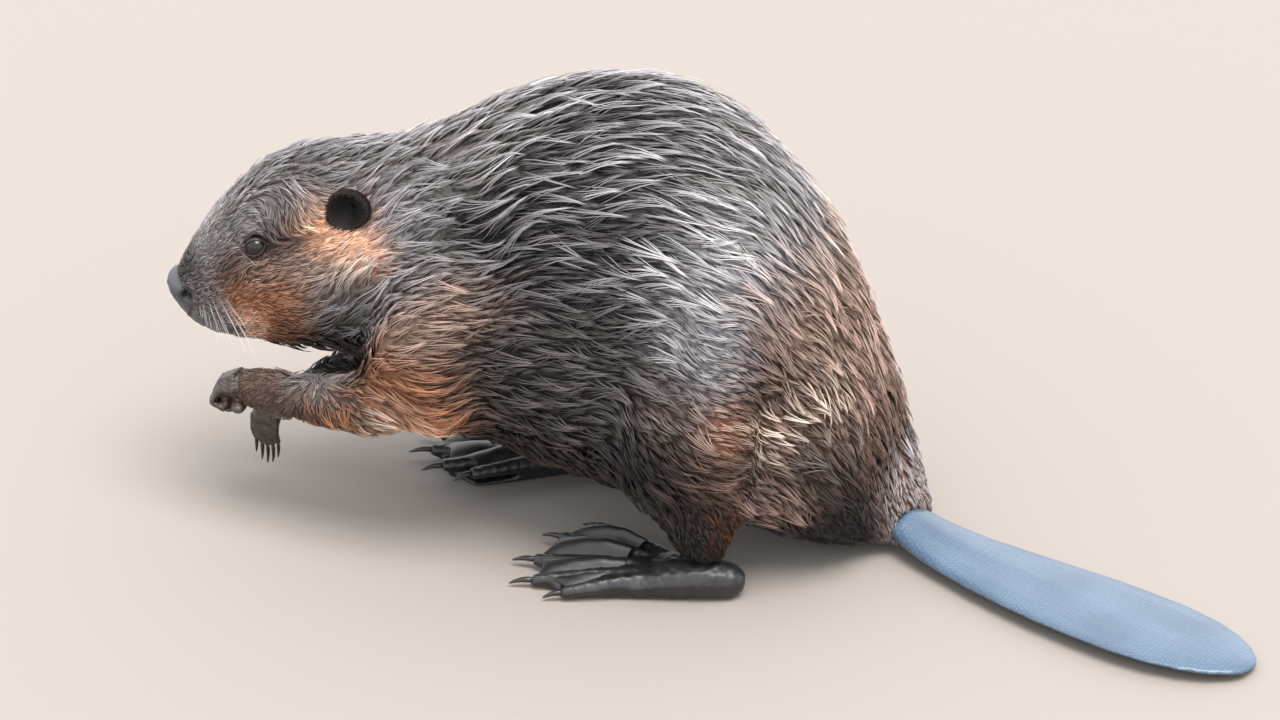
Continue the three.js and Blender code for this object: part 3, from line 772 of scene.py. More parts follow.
def hair_mesh(name, line, upward, width, root_colour, tip_colour, flat):
    """All hairs of one piece as one mesh, with colours along them and a patch each on the unwrap."""
    vertices, triangles = spikes(line, upward, width)
    vertices[:, 2] = np.maximum(vertices[:, 2], 0.2 * MM)
    count, rings = line.shape[0], line.shape[1] - 1
    level = np.append(np.repeat(np.arange(rings), 3), rings) / rings
    # Dark roots to pale tips: the underfur's own darker colour, and painted shade deep in the coat.
    fade = np.interp(level, [0, 0.4, 0.8, 1], [0, 0.5, 1, 0.95])[None, :, None]
    colours = root_colour[:, None] * (1 - fade) + tip_colour[:, None] * fade
    across = np.append(np.tile([-0.5, 0.5, 0.0], rings), 0.0)
    patch = np.stack([across, level - 0.5], 1) * PATCH
    places = np.clip(flat[:, None] + patch[None], 0.001, 0.999)
    mesh = bpy.data.meshes.new(name)
    mesh.vertices.add(len(vertices))
    mesh.vertices.foreach_set("co", vertices.astype(np.float32).ravel())
    mesh.loops.add(triangles.size)
    mesh.loops.foreach_set("vertex_index", triangles.astype(np.int32).ravel())
    mesh.polygons.add(len(triangles))
    mesh.polygons.foreach_set("loop_start", np.arange(0, triangles.size, 3, dtype=np.int32))
    mesh.update(calc_edges=True)
    unwrap = mesh.uv_layers.new(name="OFBake")
    unwrap.data.foreach_set("uv", places.reshape(-1, 2)[triangles.ravel()].astype(np.float32).ravel())
    shown = mesh.color_attributes.new("coat", "FLOAT_COLOR", "POINT")
    shown.data.foreach_set("color", np.append(colours.reshape(-1, 3), np.ones((len(vertices), 1)), 1)
                           .astype(np.float32).ravel())
    made = add_object(name, mesh)
    mesh.shade_smooth()
    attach(made, "root")
    return made


def keeps_clear(line):
    """False for a hair that would cross an eye or stand in the cup of an ear."""
    clear = np.ones(len(line), bool)
    for side in SIDES:
        for node, reach in ((f"eye_{side}", 7.0), (f"ear_{side}", 8.5)):
            apart = np.linalg.norm(line - np.array(middle(node)), axis=2)
            clear &= apart.min(1) > reach * MM
    return clear


# How each layer of the coat grows: how often it covers the skin, steps and hairs in a lock, its
# length and width beside the map's, the spread of its direction (radians), and its height in the coat.
UNDERFUR = {"layers": 2.7, "steps": 3, "lock": 6, "long": 0.75, "wide": 1.3, "stray": 0.12,
            "height": (0.25, 0.75)}
GUARD = {"layers": 1.0, "steps": 5, "lock": 5, "long": 1.15, "wide": 0.95, "stray": 0.24,
         "height": (0.6, 1.0)}


def coat_layer(name, ground, patch, kind, values_at=coat_at):
    """One layer of hair over a patch of skin, as one mesh."""
    guard = kind is GUARD
    corners, flat = patch
    here = values_at(corners.mean(1))
    layers = kind["layers"] * (here["over"] if guard else 1)
    roots, flat = scatter(corners, flat, layers, here["length"] * kind["long"], here["width"] * kind["wide"])
    here = values_at(roots)
    middles, lock = locks_of(roots, kind["lock"])
    count, locks = len(roots), lock.max() + 1
    stray = rng.normal(0, kind["stray"], (locks, 2))[lock] + rng.normal(0, 0.06, (count, 2))
    length = here["length"] * kind["long"] * rng.uniform(0.75, 1.1, count) * MM
    height = here["depth"] * rng.uniform(*kind["height"], count) * MM
    line = walk(ground, roots, stray, length, height, kind["steps"])
    line = gather(line, middles, lock, here["cling"])
    even = here["even"][:, None]
    root, tip = here["root"], values_at(line[:, -1])["tip"]
    # Guard roots lighten towards their tips, underfur tips darken towards their roots: the lower hair is
    # darker partly in its own colour, partly as painted shade within the coat.
    if guard:
        root = root * (1 - 0.5 * even) + tip * 0.5 * even
    else:
        tip = root * (1 - even) + tip * even
    shade = rng.normal(0, 0.16, locks)[lock] + rng.normal(0, 0.1, count) + 0.12 * waves(roots, 45, seed=8)
    shade = np.exp(shade)[:, None]
    width = here["width"] * kind["wide"] * rng.uniform(0.75, 1.25, count)
    clear = keeps_clear(line)
    _, upward, _ = ground.nearest(roots)
    made = hair_mesh(name, line[clear], upward[clear], width[clear], (root * shade)[clear],
                     np.minimum(tip * shade, 0.95)[clear], flat[clear])
    print(name, "hairs:", int(clear.sum()), "triangles:", len(made.data.polygons))
    return made


def coat_piece(name, chosen):
    """Underfur and guard hair over the chosen faces of the skin."""
    patch = flat_patch(skin, chosen)
    return [coat_layer(f"underfur_{name}", skin_ground, patch, UNDERFUR),
            coat_layer(f"guard_{name}", skin_ground, patch, GUARD)]


# %% Coat
skin_ground = Ground(skin, lie)
face_corners = four_corners(skin.data)
face_part = np.array(FLESH)[share[face_corners].mean(1).argmax(1)]
face_middle = points[face_corners].mean(1)
face_back = (face_middle - np.array(nose_tip)) @ np.array(head_back) / MM
face_x, face_y = face_middle[:, 0] / MM - MIDLINE, face_middle[:, 1] / MM
on_headside = np.isin(face_part, ["head", "lower_jaw", "nose"])
haired = on_nose_pad(face_middle) < 0.5
for side, sign in SIDES.items():
    haired &= np.linalg.norm(face_middle - np.array(middle(f"eye_{side}")), axis=1) > 7.4 * MM
    haired &= line_distance(face_middle, mouth_line(sign)) > 2.6 * MM

coat = coat_piece("face", on_headside & (face_back < 72) & haired)
coat += coat_piece("cheeks", on_headside & (face_back >= 72) & (face_back < 122) & haired)
coat += coat_piece("nape", on_headside & (face_back >= 122) | (face_part == "neck"))
for side, sign in SIDES.items():
    ours = face_x * sign > 0
    trunk = (face_part == "trunk") & ours
    behind = (trunk & (face_y >= 20)) | ((face_part == "tail_base") & ours)
    coat += coat_piece(f"shoulder_{side}", trunk & (face_y < -90))
    coat += coat_piece(f"back_{side}", trunk & (face_y >= -90) & (face_y < 20))
    coat += coat_piece(f"rump_{side}", behind)
    coat += coat_piece(f"arm_{side}", np.isin(face_part, [f"upper_arm_{side}", f"forearm_{side}"]))
    coat += coat_piece(f"leg_{side}", np.isin(face_part, [f"thigh_{side}", f"shin_{side}"]))
print("coat triangles:", sum(len(piece.data.polygons) for piece in coat))


def paint(made, colours):
    """Gives a surface its colours as the attribute that its material reads."""
    shown = made.data.color_attributes.new("coat", "FLOAT_COLOR", "POINT")
    with_alpha = np.append(colours, np.ones((len(colours), 1)), 1)
    shown.data.foreach_set("color", with_alpha.astype(np.float32).ravel())


# Painted shade: the grey nose pad darkens to near black in each nostril.
nostril_shade = sum(np.exp(-(np.linalg.norm(points - on_head(15, -7, 22 * side), axis=1) / (5.5 * MM)) ** 2)
              for side in (1, -1))
pad = on_nose_pad(points)[:, None]
pad_colour = linear("404043") * np.clip(1 - 1.3 * nostril_shade, 0.04, 1)[:, None]
here = coat_at(points)
skin_colour = here["root"] * (0.7 + 0.5 * here["even"][:, None])
# Painted shade: the skin darkens to near black along the closed mouth line, which hair keeps clear of.
lips = np.min([line_distance(points, mouth_line(side)) for side in (1, -1)], axis=0)[:, None] / MM
skin_colour = skin_colour * np.clip((lips - 0.8) / 1.6, 0.12, 1)
paint(skin, skin_colour * (1 - pad) + pad_colour * pad)

# %% [markdown]
# ## Eyes and lids
# The eye is small, round and almost black, with a wet shine. It is a ball set in the socket. The lids
# are a rim of bare dark skin: a small profile spun round the line of sight and squeezed to an almond.

# %% Eyes
EYE_RADIUS = 8.0


def rounded(made, levels):
    """Gives a piece the smooth rounding of subdivision."""
    soft = made.modifiers.new("rounded", "SUBSURF")
    soft.levels = soft.render_levels = levels
    return made


def place_on(made_shape, centre, outward, upward):
    """Turns a shape made round +Z so that +Z looks outward, and moves it to its centre."""
    z = Vector(outward).normalized()
    x = Vector(upward).cross(z).normalized()
    turn = Matrix((x, z.cross(x), z)).transposed().to_4x4()
    bmesh.ops.transform(made_shape, matrix=Matrix.Translation(Vector(centre)) @ turn, verts=made_shape.verts)


def spin_profile(profile, steps):
    """A closed profile of (radius, height) pairs, spun all the way round Z."""
    shape = bmesh.new()
    corners = [shape.verts.new((radius * MM, 0, height * MM)) for radius, height in profile]
    edges = [shape.edges.new((one, two)) for one, two in zip(corners, corners[1:] + corners[:1])]
    bmesh.ops.spin(shape, geom=corners + edges, cent=(0, 0, 0), axis=(0, 0, 1), angle=2 * math.pi,
                   steps=steps, use_merge=True)
    bmesh.ops.remove_doubles(shape, verts=shape.verts, dist=0.001 * MM)
    bmesh.ops.recalc_face_normals(shape, faces=shape.faces)
    return shape


LID = [(6.8, 4.1), (6.7, 4.6), (7.0, 4.9), (7.4, 4.5), (7.8, 3.6), (8.2, 2.2), (8.5, 0.2), (8.5, -2.0),
       (7.8, -0.5)]
eyes, lids = [], []
for side, sign in SIDES.items():
    outward = head_direction(-0.15, 0.3, sign)
    centre = on_head(EYE_BACK, EYE_RISE, (EYE_OUT - 1.5) * sign)
    ball = bmesh.new()
    bmesh.ops.create_uvsphere(ball, u_segments=40, v_segments=24, radius=EYE_RADIUS * MM)
    cornea = [vertex for vertex in ball.verts if vertex.co.z > 0.72 * EYE_RADIUS * MM]
    bmesh.ops.scale(ball, vec=(0.97, 0.97, 1.04), verts=cornea)
    place_on(ball, centre, outward, head_up)
    eye = add_object(f"eyeball_{side}", ball)
    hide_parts(f"eye_{side}")
    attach(eye, "root")
    eyes.append(eye)
    rim = spin_profile(LID, 40)
    for vertex in rim.verts:
        before = math.hypot(vertex.co.x, vertex.co.y)
        outer = np.clip((before / MM - 6.8) / 2.4, 0, 1)
        vertex.co.x *= 1.08
        squeeze = 0.70 if vertex.co.y > 0 else 0.78
        vertex.co.y *= squeeze + (0.88 - squeeze) * outer
        after = math.hypot(vertex.co.x, vertex.co.y)
        ball_height = [math.sqrt(max((EYE_RADIUS * MM) ** 2 - reach ** 2, 0)) for reach in (before, after)]
        vertex.co.z += ball_height[1] - ball_height[0]
    place_on(rim, centre, outward, head_up)
    lid = add_object(f"eyelids_{side}", rim)
    rounded(lid, 1)
    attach(lid, "root")
    lids.append(lid)
print("eyeballs:", round(2 * EYE_RADIUS), "mm across")

# %% [markdown]
# ## Ears
# A beaver's ears are short, round and cupped, almost black, with a thick soft rim. Each is a cup: a
# profile spun round its mouth, stretched a little upwards and open towards the front, with a fold
# inside. A very short dark coat covers its back and rim.

# %% Ears
CUP = [(0.1, 0.2), (4, 0.6), (7.6, 2.2), (10.8, 5.8), (12.6, 10.0), (13.9, 12.2), (15.2, 11.8), (15.3, 8.4),
       (13.6, 3.4), (11.6, -1.5), (9.8, -7.0), (0.1, -8.0)]


def ear_values(centre):
    """The coat of an ear: dark, and a little browner on its rim."""
    def values(places):
        count = len(places)
        rim = np.clip((np.linalg.norm(places - centre, axis=1) / MM - 13) / 4, 0, 1)[:, None]
        tip = linear("191412") * (1 - rim) + linear("4c3f37") * rim
        return {"tip": tip, "root": np.tile(linear("0d0a09"), (count, 1)), "length": np.full(count, 5.0),
                "width": np.full(count, 0.45)}
    return values


ears = []
for side, sign in SIDES.items():
    opening = head_direction(-0.30, 0.12, sign)
    upward = unit(head_direction(0.25, 1))
    lower = (1.5 - 2.5 * sign) * MM * (sign < 0)
    centre = np.array(middle(f"ear_{side}")) - opening * 6 * MM - upward * lower
    cup = spin_profile(CUP, 36)
    for vertex in cup.verts:
        forward = vertex.co.x * sign / (15 * MM)
        low = max(0.0, -vertex.co.y / (15 * MM))
        turn = math.atan2(vertex.co.y, vertex.co.x)
        uneven = 1 + 0.07 * math.sin(2 * turn + 1) + 0.05 * math.sin(3 * turn + 2)
        vertex.co.x *= uneven
        vertex.co.y *= 1.08 * uneven
        vertex.co.z -= (1.8 * forward + 3.5 * low ** 2) * MM * (vertex.co.z > 2 * MM)
    place_on(cup, centre, opening, upward)
    ear = add_object(f"ear_{side}_cup", cup)
    apply_modifiers(rounded(ear, 2))
    spots = read(ear.data)
    push(spots, centre + (opening * 5 - upward * 6 + head_direction(1, 0) * 6) * MM, 8, opening * 2.5)
    write(ear.data, spots)
    # Painted shade: the skin deep in the cup is darker than its rim and back.
    inside = np.exp(-(np.linalg.norm(spots - centre - opening * 3 * MM, axis=1) / (11 * MM)) ** 4)[:, None]
    paint(ear, linear("080707") * inside + linear("1c1715") * (1 - inside))
    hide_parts(f"ear_{side}")
    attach(ear, "root")
    ears.append(ear)
    values = ear_values(centre + opening * 6 * MM)
    to_rim = unit(spots - centre + opening * 10 * MM)
    ground = Ground(ear, lay_flat(opening * 1.0 + to_rim * 0.6 + upward * 0.4, read(ear.data, "normal")))
    face_spots = spots[four_corners(ear.data)].mean(1) - centre
    outer = (ground.normals @ opening < 0.55) & (face_spots @ opening > -3 * MM)
    outer &= ((ground.normals * unit(face_spots - opening * np.dot(face_spots, opening)[:, None])).sum(1) > 0)
    corners, flat = flat_patch(ear, outer)
    here = values(corners.mean(1))
    roots, flat = scatter(corners, flat, 2.2, here["length"], here["width"])
    here = values(roots)
    _, up_there, heading = ground.nearest(roots)
    line = [roots - up_there * 0.4 * MM]
    for step in range(2):
        line.append(line[-1] + unit(heading + 0.25 * up_there) * (here["length"] / 2 * MM)[:, None])
    tuft = hair_mesh(f"coat_ear_{side}", np.stack(line, 1), up_there, here["width"], here["root"],
                     here["tip"], flat)
    coat.append(tuft)
print("ear hairs:", len(roots))

# %% [markdown]
# ## Whiskers
# Stiff pale bristles stand in rows on the whisker pads, longest at the back, and sweep out, back and
# down; a few more stand over each eye. They are drawn as thick as they need to be to show.

# %% Whiskers


def bristles(name, roots, upward, heading, lengths, droop, thick):
    """Long curved bristles from given roots."""
    steps = 6
    line = [roots - upward * MM]
    for step in range(1, steps + 1):
        share = step / steps
        path = heading + upward * (0.55 * (1 - share)) + np.array((0, 0, -1)) * droop * share
        line.append(line[-1] + unit(path) * (lengths / steps)[:, None] * MM)
    count = len(roots)
    patch_corners, patch_flat = flat_patch(skin, on_headside & (face_back < 100))
    tree = KDTree(len(patch_corners))
    for number, place in enumerate(patch_corners.mean(1)):
        tree.insert(place, number)
    tree.balance()
    flat = patch_flat[[tree.find(root)[1] for root in roots]].mean(1)
    pale = np.tile(linear("d8cfc4"), (count, 1))
    return hair_mesh(name, np.stack(line, 1), upward, np.full(count, thick), pale * 0.35, pale, flat)


seeds, lengths, headings = [], [], []
for sign in SIDES.values():
    for row in range(5):
        for column in range(6):
            back = 20 + 4.4 * column + rng.normal(0, 0.6)
            rise = -12 - 5.2 * row + rng.normal(0, 0.6)
            seeds.append(on_head(back, rise, (24 + 0.35 * back) * sign))
            lengths.append(14 + 5.5 * column + rng.uniform(-4, 7))
            headings.append(head_direction(0.2 + 0.09 * column, -0.3 - 0.08 * row + rng.normal(0, 0.1), sign))
    for number in range(4):
        seeds.append(on_head(76 + 4 * number, 29, 37 * sign))
        lengths.append(22 + 3 * number)
        headings.append(head_direction(0.8, 0.5, 0.5 * sign))
roots, upward, _ = skin_ground.nearest(np.array(seeds))
whiskers = bristles("whiskers", roots, upward, np.array(headings), np.array(lengths), 0.6, 0.26)
print("whiskers:", len(seeds))

# %% [markdown]
# ## Hands
# The small dark hands are bare below and thinly haired above. Each is its solid wrapped in very small
# squares and smoothed, with creases across the fingers, so that palm and fingers are one surface.

# %% Hands
HAND_PADS = {
    "left": [((24, -343, 112), (12.5, 12, 12)), ((20, -358, 98), (13, 5.5, 5.5)),
             ((34, -347, 100), (9, 6, 4.5))],                # wrist, palm and its heel
    "right": [((-54, -337, 65), (11, 11, 11))],                                     # wrist
}
bare_parts = []
for side, sign in SIDES.items():
    hand = remeshed(f"hand_{side}_skin", [f"hand_{side}"], 0.8 * MM, swell=0.15 * MM, pads=HAND_PADS[side])
    spots, links = read(hand.data), edge_pairs(hand.data)
    spots = smooth(spots, links, 5, 0.5)
    write(hand.data, spots)
    creases = np.sin(spots[:, 2] / MM * 2 * math.pi / 2.6 + waves(spots, 9, seed=11))
    spots += read(hand.data, "normal") * (0.16 * MM * creases)[:, None]
    write(hand.data, spots)
    shade = np.clip(0.5 + 0.5 * waves(spots, 7, seed=12), 0, 1)[:, None]
    paint(hand, linear("261d17") * (1 - shade) + linear("42342a") * shade)
    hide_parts(f"hand_{side}")
    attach(hand, "root")
    bare_parts.append(hand)

# %% [markdown]
# ## Webbed feet
# The hind foot is a black leathery fan: five toes with a web that arches up between them when it is
# not spread flat. The solid gives toes and web, and here the web is lifted and thinned between each
# pair of toes and the toes get their cross creases.

# %% Feet


def foot_polar(spots, side):
    """Angle about the ankle and distance from it in mm, seen from above, and the toes' own."""
    ankle = middle(f"shin_{side}")
    tips = [middle(f"foot_claw_{side}_{toe}") for toe in range(1, 6)]
    sign = SIDES[side]

    def polar(x, y):
        return np.arctan2((x - ankle.x) * sign, ankle.y - y), np.hypot(x - ankle.x, y - ankle.y) / MM

    toes = [polar(tip.x, tip.y) for tip in tips]
    return polar(spots[:, 0], spots[:, 1]), np.array(toes)


WEB_LIFT = [11, 10, 6, 4]                # mm: how high the web arches between each pair of toes
WEB_THICK = 1.4

for side in SIDES:
    foot = remeshed(f"foot_{side}_skin", [f"foot_{side}"], 1.3 * MM, swell=0.1 * MM)
    spots, links = read(foot.data), edge_pairs(foot.data)
    spots = smooth(spots, links, 14, 0.5)
    write(foot.data, spots)
    (_, reach), toes = foot_polar(spots, side)
    rings = np.sin(reach * 2 * math.pi / 4.2 + 0.8 * waves(spots, 16, seed=14))
    grain = 0.07 * rings + 0.3 * waves(spots, 9, seed=15)
    spots += read(foot.data, "normal") * (grain * (spots[:, 2] > 2 * MM) * MM)[:, None]
    spots[:, 2] = np.maximum(spots[:, 2], 0)
    write(foot.data, spots)
    shade = np.clip(0.5 + 0.5 * waves(spots, 22, seed=16), 0, 1)[:, None]
    paint(foot, linear("141313") * (1 - shade) + linear("252325") * shade)
    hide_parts(f"foot_{side}")
    bare_parts.append(foot)

    sign, ankle = SIDES[side], middle(f"shin_{side}")
    tree = BVHTree.FromPolygons(spots.tolist(), four_corners(foot.data).tolist())

    def on_toe(number, share):
        """A place on top of a toe, from the ankle (0) to the claw (1)."""
        spread, length = toes[number][0], (toes[number][1] - 6) * share * MM
        x, y = ankle.x + math.sin(spread) * length * sign, ankle.y - math.cos(spread) * length
        hit = tree.ray_cast(Vector((x, y, 60 * MM)), Vector((0, 0, -1)))[0]
        return np.array((x, y, hit.z if hit else 4 * MM))

    web = bmesh.new()
    shares = np.linspace(0.42, 0.96, 12)
    tops = np.array([[on_toe(number, share) for share in shares] for number in range(5)])
    columns = []
    for gap, lift in enumerate(WEB_LIFT):
        for part_way in np.linspace(0, 1, 8)[(gap > 0):]:
            row = tops[gap] * (1 - part_way) + tops[gap + 1] * part_way
            arch = math.sin(math.pi * part_way)
            row = row + (row - np.array(ankle) * (1, 1, 0)) * (1, 1, 0) * (-0.03 * arch)
            swell = np.sin(math.pi * np.clip((shares - 0.3) / 0.75, 0, 1)) ** 0.7
            row[:, 2] += (lift * arch ** 0.8 * swell - 2.2) * MM
            row[:, 2] += 0.5 * MM * np.sin(shares * 40 + 5 * part_way) * arch
            columns.append([web.verts.new(place) for place in row])
    for left_row, right_row in zip(columns, columns[1:]):
        for step in range(len(shares) - 1):
            web.faces.new((left_row[step], left_row[step + 1], right_row[step + 1], right_row[step]))
    bmesh.ops.recalc_face_normals(web, faces=web.faces)
    bmesh.ops.solidify(web, geom=web.faces, thickness=WEB_THICK * MM)
    bmesh.ops.recalc_face_normals(web, faces=web.faces)
    for vertex in web.verts:
        vertex.co.z = max(vertex.co.z, 0.3 * MM)
    sheet = add_object(f"web_{side}", web)
    apply_modifiers(rounded(sheet, 1))
    paint(sheet, np.tile(linear("181717"), (len(sheet.data.vertices), 1)))
    bare_parts.append(sheet)
    for piece in (foot, sheet):
        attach(piece, "root")
    print("foot:", len(spots), "vertices; web:", len(sheet.data.vertices))

# %% [markdown]
# ## Claws
# Five claws on each hand, slim and pointed, and five on each foot, broad and blunt. Their solids are
# right in place and size, so a copy of each is only rounded by subdivision.

# %% Claws
claws = []
for side in SIDES:
    for limb in ("hand", "foot"):
        nodes = [f"{limb}_claw_{side}_{number}" for number in range(1, 6)]
        horn = add_object(f"{limb}_claws_{side}", solid_copy(nodes, 0.12 * MM))
        rounded(horn, 1)
        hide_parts(*nodes)
        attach(horn, "root")
        claws.append(horn)

# %% [markdown]
# ## The tail
# The tail is a flat leathery paddle, covered with small six-sided scales that overlap towards the
# tip. A mosaic of cells, set out in rows across the paddle and shaken a little, gives each point its
# distance to the nearest groove, and the surface is raised between the grooves.

# %% Tail
SCALE_LONG, SCALE_WIDE = 3.6, 3.3        # mm: one scale


def cells(along, across, shake, seed):
    """For each point: the share of the way from its cell's groove to its middle, and its place along."""
    cell = np.random.default_rng(seed)
    table = cell.uniform(-shake, shake, (4096, 2))
    row = np.round(along)
    nearest = np.full(len(along), 9.0)
    second = np.full(len(along), 9.0)
    place = np.zeros(len(along))
    for row_step in (-1, 0, 1):
        this_row = row + row_step
        offset = 0.5 * (this_row % 2)
        column = np.round(across - offset)
        for column_step in (-1, 0, 1):
            this_column = column + column_step
            jitter = table[(this_row * 131 + this_column * 17).astype(int) % 4096]
            ahead = along - this_row - jitter[:, 0]
            beside = across - this_column - offset - jitter[:, 1]
            distance = np.hypot(ahead, beside)
            closer = distance < nearest
            second = np.where(closer, nearest, np.minimum(second, distance))
            place = np.where(closer, ahead, place)
            nearest = np.where(closer, distance, nearest)
    return np.clip((second - nearest) / 0.35, 0, 1), place


tail = remeshed("tail_skin", ["tail"], 0.95 * MM, swell=0.0)
spots, links = read(tail.data), edge_pairs(tail.data)
spots = smooth(spots, links, 30, 0.5)
SWING = math.radians(30)
tail_way = np.array((math.sin(SWING), math.cos(SWING), 0))
tail_side = np.array((math.cos(SWING), -math.sin(SWING), 0))
tail_start = spots[(spots @ tail_way).argmin()]
along = (spots - tail_start) @ tail_way / MM
across = (spots - spots.mean(0)) @ tail_side / MM
write(tail.data, spots)
up = read(tail.data, "normal")
scale, place = cells(along / SCALE_LONG, across / SCALE_WIDE, 0.16, seed=21)
keel = np.exp(-(across / 7) ** 2) * np.clip(1 - along / 220, 0, 1)
height = 0.2 * scale + 0.14 * place * scale + 0.10 * waves(spots, 30, seed=22)
height += 1.1 * keel * (up[:, 2] > 0.3)
spots += up * (height * MM)[:, None]
spots[:, 2] = np.maximum(spots[:, 2], 0)
write(tail.data, spots)
# The blue grey is partly painted sky reflection on the wet scales, in soft patches.
blue = np.clip(0.5 + 0.5 * waves(spots, 55, seed=23), 0, 1)[:, None]
tail_colour = linear("455a6e") * (1 - blue) + linear("53687d") * blue
# Painted shade: the paddle darkens towards its rounded edges. The grooves between scales are darker too.
edge = np.clip((np.abs(across) - 38) / 14, 0, 1)[:, None]
tail_colour = tail_colour * (1 - 0.25 * edge) * (0.7 + 0.3 * scale[:, None])
paint(tail, tail_colour)
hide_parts("tail")
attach(tail, "root")
print("tail:", len(spots), "vertices; scales about", SCALE_LONG, "by", SCALE_WIDE, "mm")

# %% [markdown]
# ## Materials
# Wet fur is keratin with a film of water: each hair has its own brown or grey and a narrow shine. The
# bare parts are wet leathery skin, horn and the clear wet front of the eye. Colours that change over
# a piece come from its attribute; each pattern's size is worked out from millimetres.

# %% Material tools


def new_material(name, roughness, ior=1.5):
    material = bpy.data.materials.new(name)
    material.use_nodes = True
    nodes = material.node_tree.nodes
    nodes.clear()
    out = nodes.new("ShaderNodeOutputMaterial")
    shader = nodes.new("ShaderNodeBsdfPrincipled")
    material.node_tree.links.new(shader.outputs["BSDF"], out.inputs["Surface"])
    shader.inputs["Roughness"].default_value = roughness
    shader.inputs["IOR"].default_value = ior
    return material, shader


def add(material, kind, inputs=None, **settings):
    """Adds a node. An input is a number, a colour, or another node's output, which is linked."""
    tree = material.node_tree
    node = tree.nodes.new(kind)
    for name, value in settings.items():
        setattr(node, name, value)
    for name, value in (inputs or {}).items():
        if isinstance(value, bpy.types.NodeSocket):
            tree.links.new(value, node.inputs[name])
        else:
            node.inputs[name].default_value = value
    return node


def painted(name, roughness, pattern_mm, contrast, bump, bump_mm):
    """A material whose attribute colour is varied by a fine pattern, with the pattern as bump too."""
    material, shader = new_material(name, roughness)
    colour = add(material, "ShaderNodeAttribute", attribute_name="coat")
    place = add(material, "ShaderNodeTexCoord")
    pattern = add(material, "ShaderNodeTexNoise", {"Vector": place.outputs["Object"],
                                                   "Scale": 1 / (pattern_mm * MM), "Detail": 3.0})
    levels = {"From Min": 0.3, "From Max": 0.7, "To Min": 1 - contrast, "To Max": 1 + contrast}
    light = add(material, "ShaderNodeMapRange", {"Value": pattern.outputs["Fac"], **levels})
    scaled = {0: colour.outputs["Color"], "Scale": light.outputs["Result"]}
    tinted = add(material, "ShaderNodeVectorMath", scaled, operation="SCALE")
    links = material.node_tree.links
    links.new(tinted.outputs["Vector"], shader.inputs["Base Color"])
    if bump:
        grain = add(material, "ShaderNodeTexVoronoi", {"Vector": place.outputs["Object"],
                                                       "Scale": 1 / (bump_mm * MM)})
        raised = add(material, "ShaderNodeBump", {"Height": grain.outputs["Distance"], "Strength": bump,
                                                  "Distance": 0.3 * MM})
        links.new(raised.outputs["Normal"], shader.inputs["Normal"])
    return material, shader


# Wet guard hair: keratin under a film of water. Each hair keeps its own colour with a narrow, weak shine.
hair_material, hair_shader = painted("wet guard hair", 0.3, 7, 0.12, 0, 1)
hair_shader.inputs["Specular IOR Level"].default_value = 0.3
hair_shader.inputs["Coat Weight"].default_value = 0.08
hair_shader.inputs["Coat Roughness"].default_value = 0.2
# Furred skin: it shows only as the dull dark ground between locks, in the roots' colours and their painted
# shade.
skin_material, skin_shader = painted("furred skin", 0.6, 4, 0.3, 0.6, 1.2)
skin_shader.inputs["Specular IOR Level"].default_value = 0.25
for piece in coat:
    piece.data.materials.append(hair_material)
skin.data.materials.append(skin_material)

# Bristle: stiff pale keratin, smoother than fur.
whisker_material, _ = painted("bristle", 0.35, 9, 0.05, 0, 1)
whiskers.data.materials.append(whisker_material)
# Leathery skin of hands, feet and webs: wet, pebbled grain of about 1 mm, so its shine is broken up.
leather_material, leather = painted("wet leathery skin", 0.4, 5, 0.2, 0.5, 0.9)
leather.inputs["Coat Weight"].default_value = 0.14
leather.inputs["Coat Roughness"].default_value = 0.2
for piece in bare_parts:
    piece.data.materials.append(leather_material)
# Ear skin: thin, dry and matt, almost black.
ear_material, ear_shader = painted("ear skin", 0.7, 4, 0.2, 0.3, 0.8)
ear_shader.inputs["Specular IOR Level"].default_value = 0.25
for piece in ears:
    piece.data.materials.append(ear_material)
# Tail scales: wet horny skin with a glossy coat that mirrors the even sky; much of the paddle's blue is
# painted sky reflection in its colour.
tail_material, tail_shader = painted("wet tail scales", 0.36, 3, 0.08, 0.25, 0.7)
tail_shader.inputs["Coat Weight"].default_value = 0.4
tail_shader.inputs["Coat Roughness"].default_value = 0.25
tail.data.materials.append(tail_material)

# Nose leather: bare, finely pebbled at about 1 mm, with a soft moist shine.
nose_material, _ = painted("nose leather", 0.42, 1.5, 0.2, 0.6, 1.1)
skin.data.materials.append(nose_material)
pad_faces = (on_nose_pad(points)[face_corners].mean(1) > 0.5).astype(np.int32)
skin.data.polygons.foreach_set("material_index", pad_faces)

# Lid skin: bare, brown and a little moist.
lid_material, _ = new_material("bare lid skin", 0.45)
lid_place = add(lid_material, "ShaderNodeTexCoord")
lid_noise = add(lid_material, "ShaderNodeTexNoise", {"Vector": lid_place.outputs["Object"],
                                                     "Scale": 1 / (2 * MM)})
lid_colour = add(lid_material, "ShaderNodeValToRGB", {"Fac": lid_noise.outputs["Fac"]})
lid_colour.color_ramp.elements[0].color = (*linear("1c1411"), 1)
lid_colour.color_ramp.elements[1].color = (*linear("3d2d25"), 1)
lid_material.node_tree.links.new(lid_colour.outputs["Color"],
                                 lid_material.node_tree.nodes["Principled BSDF"].inputs["Base Color"])
for lid in lids:
    lid.data.materials.append(lid_material)

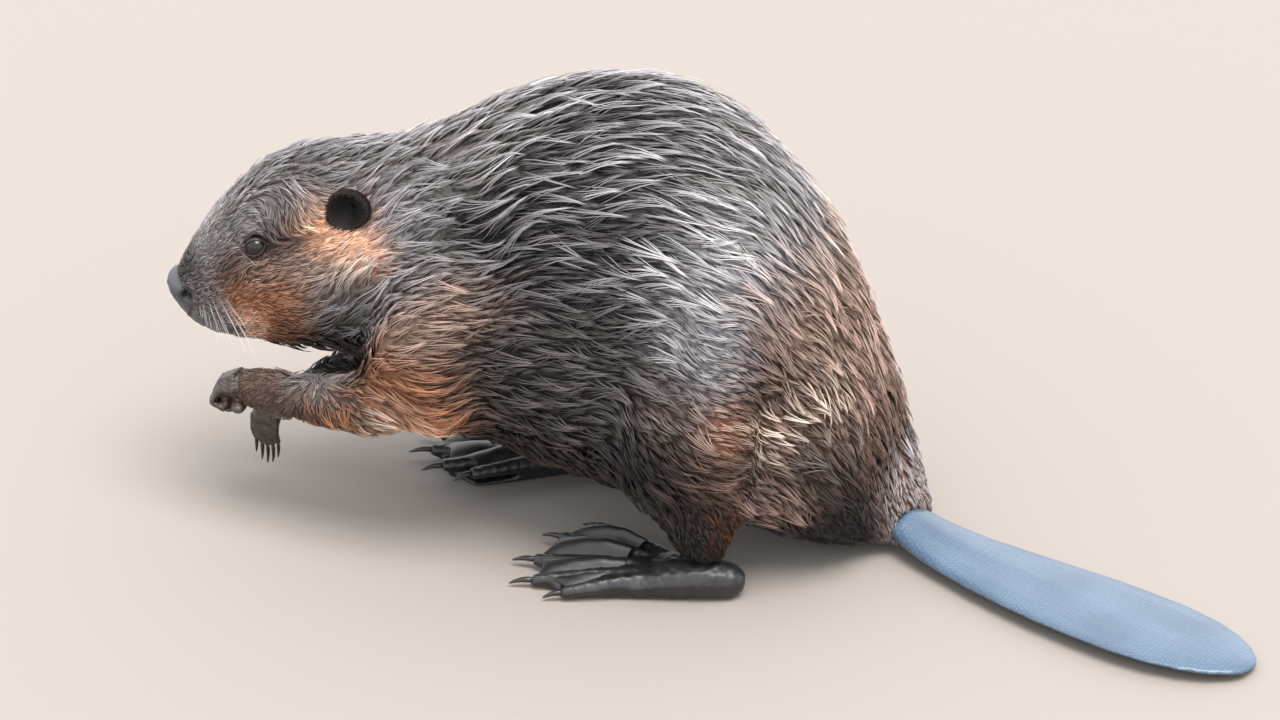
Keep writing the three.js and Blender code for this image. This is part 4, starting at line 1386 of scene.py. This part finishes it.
# The clear front of the eye: water and cornea, so a small sharp highlight over near black.
eye_material, eye_shader = new_material("wet dark eye", 0.05, 1.38)
eye_place = add(eye_material, "ShaderNodeTexCoord")
eye_noise = add(eye_material, "ShaderNodeTexNoise", {"Vector": eye_place.outputs["Object"],
                                                     "Scale": 1 / (1.5 * MM)})
eye_colour = add(eye_material, "ShaderNodeValToRGB", {"Fac": eye_noise.outputs["Fac"]})
eye_colour.color_ramp.elements[0].color = (*linear("0b0908"), 1)
eye_colour.color_ramp.elements[1].color = (*linear("1a1513"), 1)
eye_material.node_tree.links.new(eye_colour.outputs["Color"], eye_shader.inputs["Base Color"])
eye_shader.inputs["Coat Weight"].default_value = 0.25
eye_shader.inputs["Coat Roughness"].default_value = 0.2
for eye in eyes:
    eye.data.materials.append(eye_material)

# Claw horn: dark keratin worn smooth, with faint browner streaks.
claw_material, claw_shader = new_material("claw horn", 0.35, 1.54)
claw_place = add(claw_material, "ShaderNodeTexCoord")
claw_noise = add(claw_material, "ShaderNodeTexNoise", {"Vector": claw_place.outputs["Object"],
                                                       "Scale": 1 / (3 * MM), "Detail": 3.0})
claw_colour = add(claw_material, "ShaderNodeValToRGB", {"Fac": claw_noise.outputs["Fac"]})
claw_colour.color_ramp.elements[0].color = (*linear("14110f"), 1)
claw_colour.color_ramp.elements[1].color = (*linear("2f2823"), 1)
claw_material.node_tree.links.new(claw_colour.outputs["Color"], claw_shader.inputs["Base Color"])
for horn in claws:
    horn.data.materials.append(claw_material)

# %% [markdown]
# ## Floor and light
# A plain pale floor, a soft sun from above and the far side, and an even pale sky.

# %% Floor and light
floor_shape = bmesh.new()
bmesh.ops.create_grid(floor_shape, x_segments=1, y_segments=1, size=12)
floor = add_object("floor", floor_shape)
floor_material, floor_shader = new_material("pale floor", 0.9)
floor_shader.inputs["Base Color"].default_value = (*linear("938a82"), 1)
floor.data.materials.append(floor_material)

world = bpy.data.worlds.new("studio")
bpy.context.scene.world = world
world.use_nodes = True
world.node_tree.nodes["Background"].inputs["Color"].default_value = (0.93, 0.96, 1.0, 1)
world.node_tree.nodes["Background"].inputs["Strength"].default_value = 1.9
sun = bpy.data.objects.new("soft key", bpy.data.lights.new("soft key", "SUN"))
bpy.context.collection.objects.link(sun)
sun.data.energy = 3.6
sun.data.angle = math.radians(35)
sun.rotation_euler = Vector((-0.25, -0.2, -0.95)).to_track_quat("-Z", "Y").to_euler()
bpy.context.scene.view_settings.view_transform = "Standard"
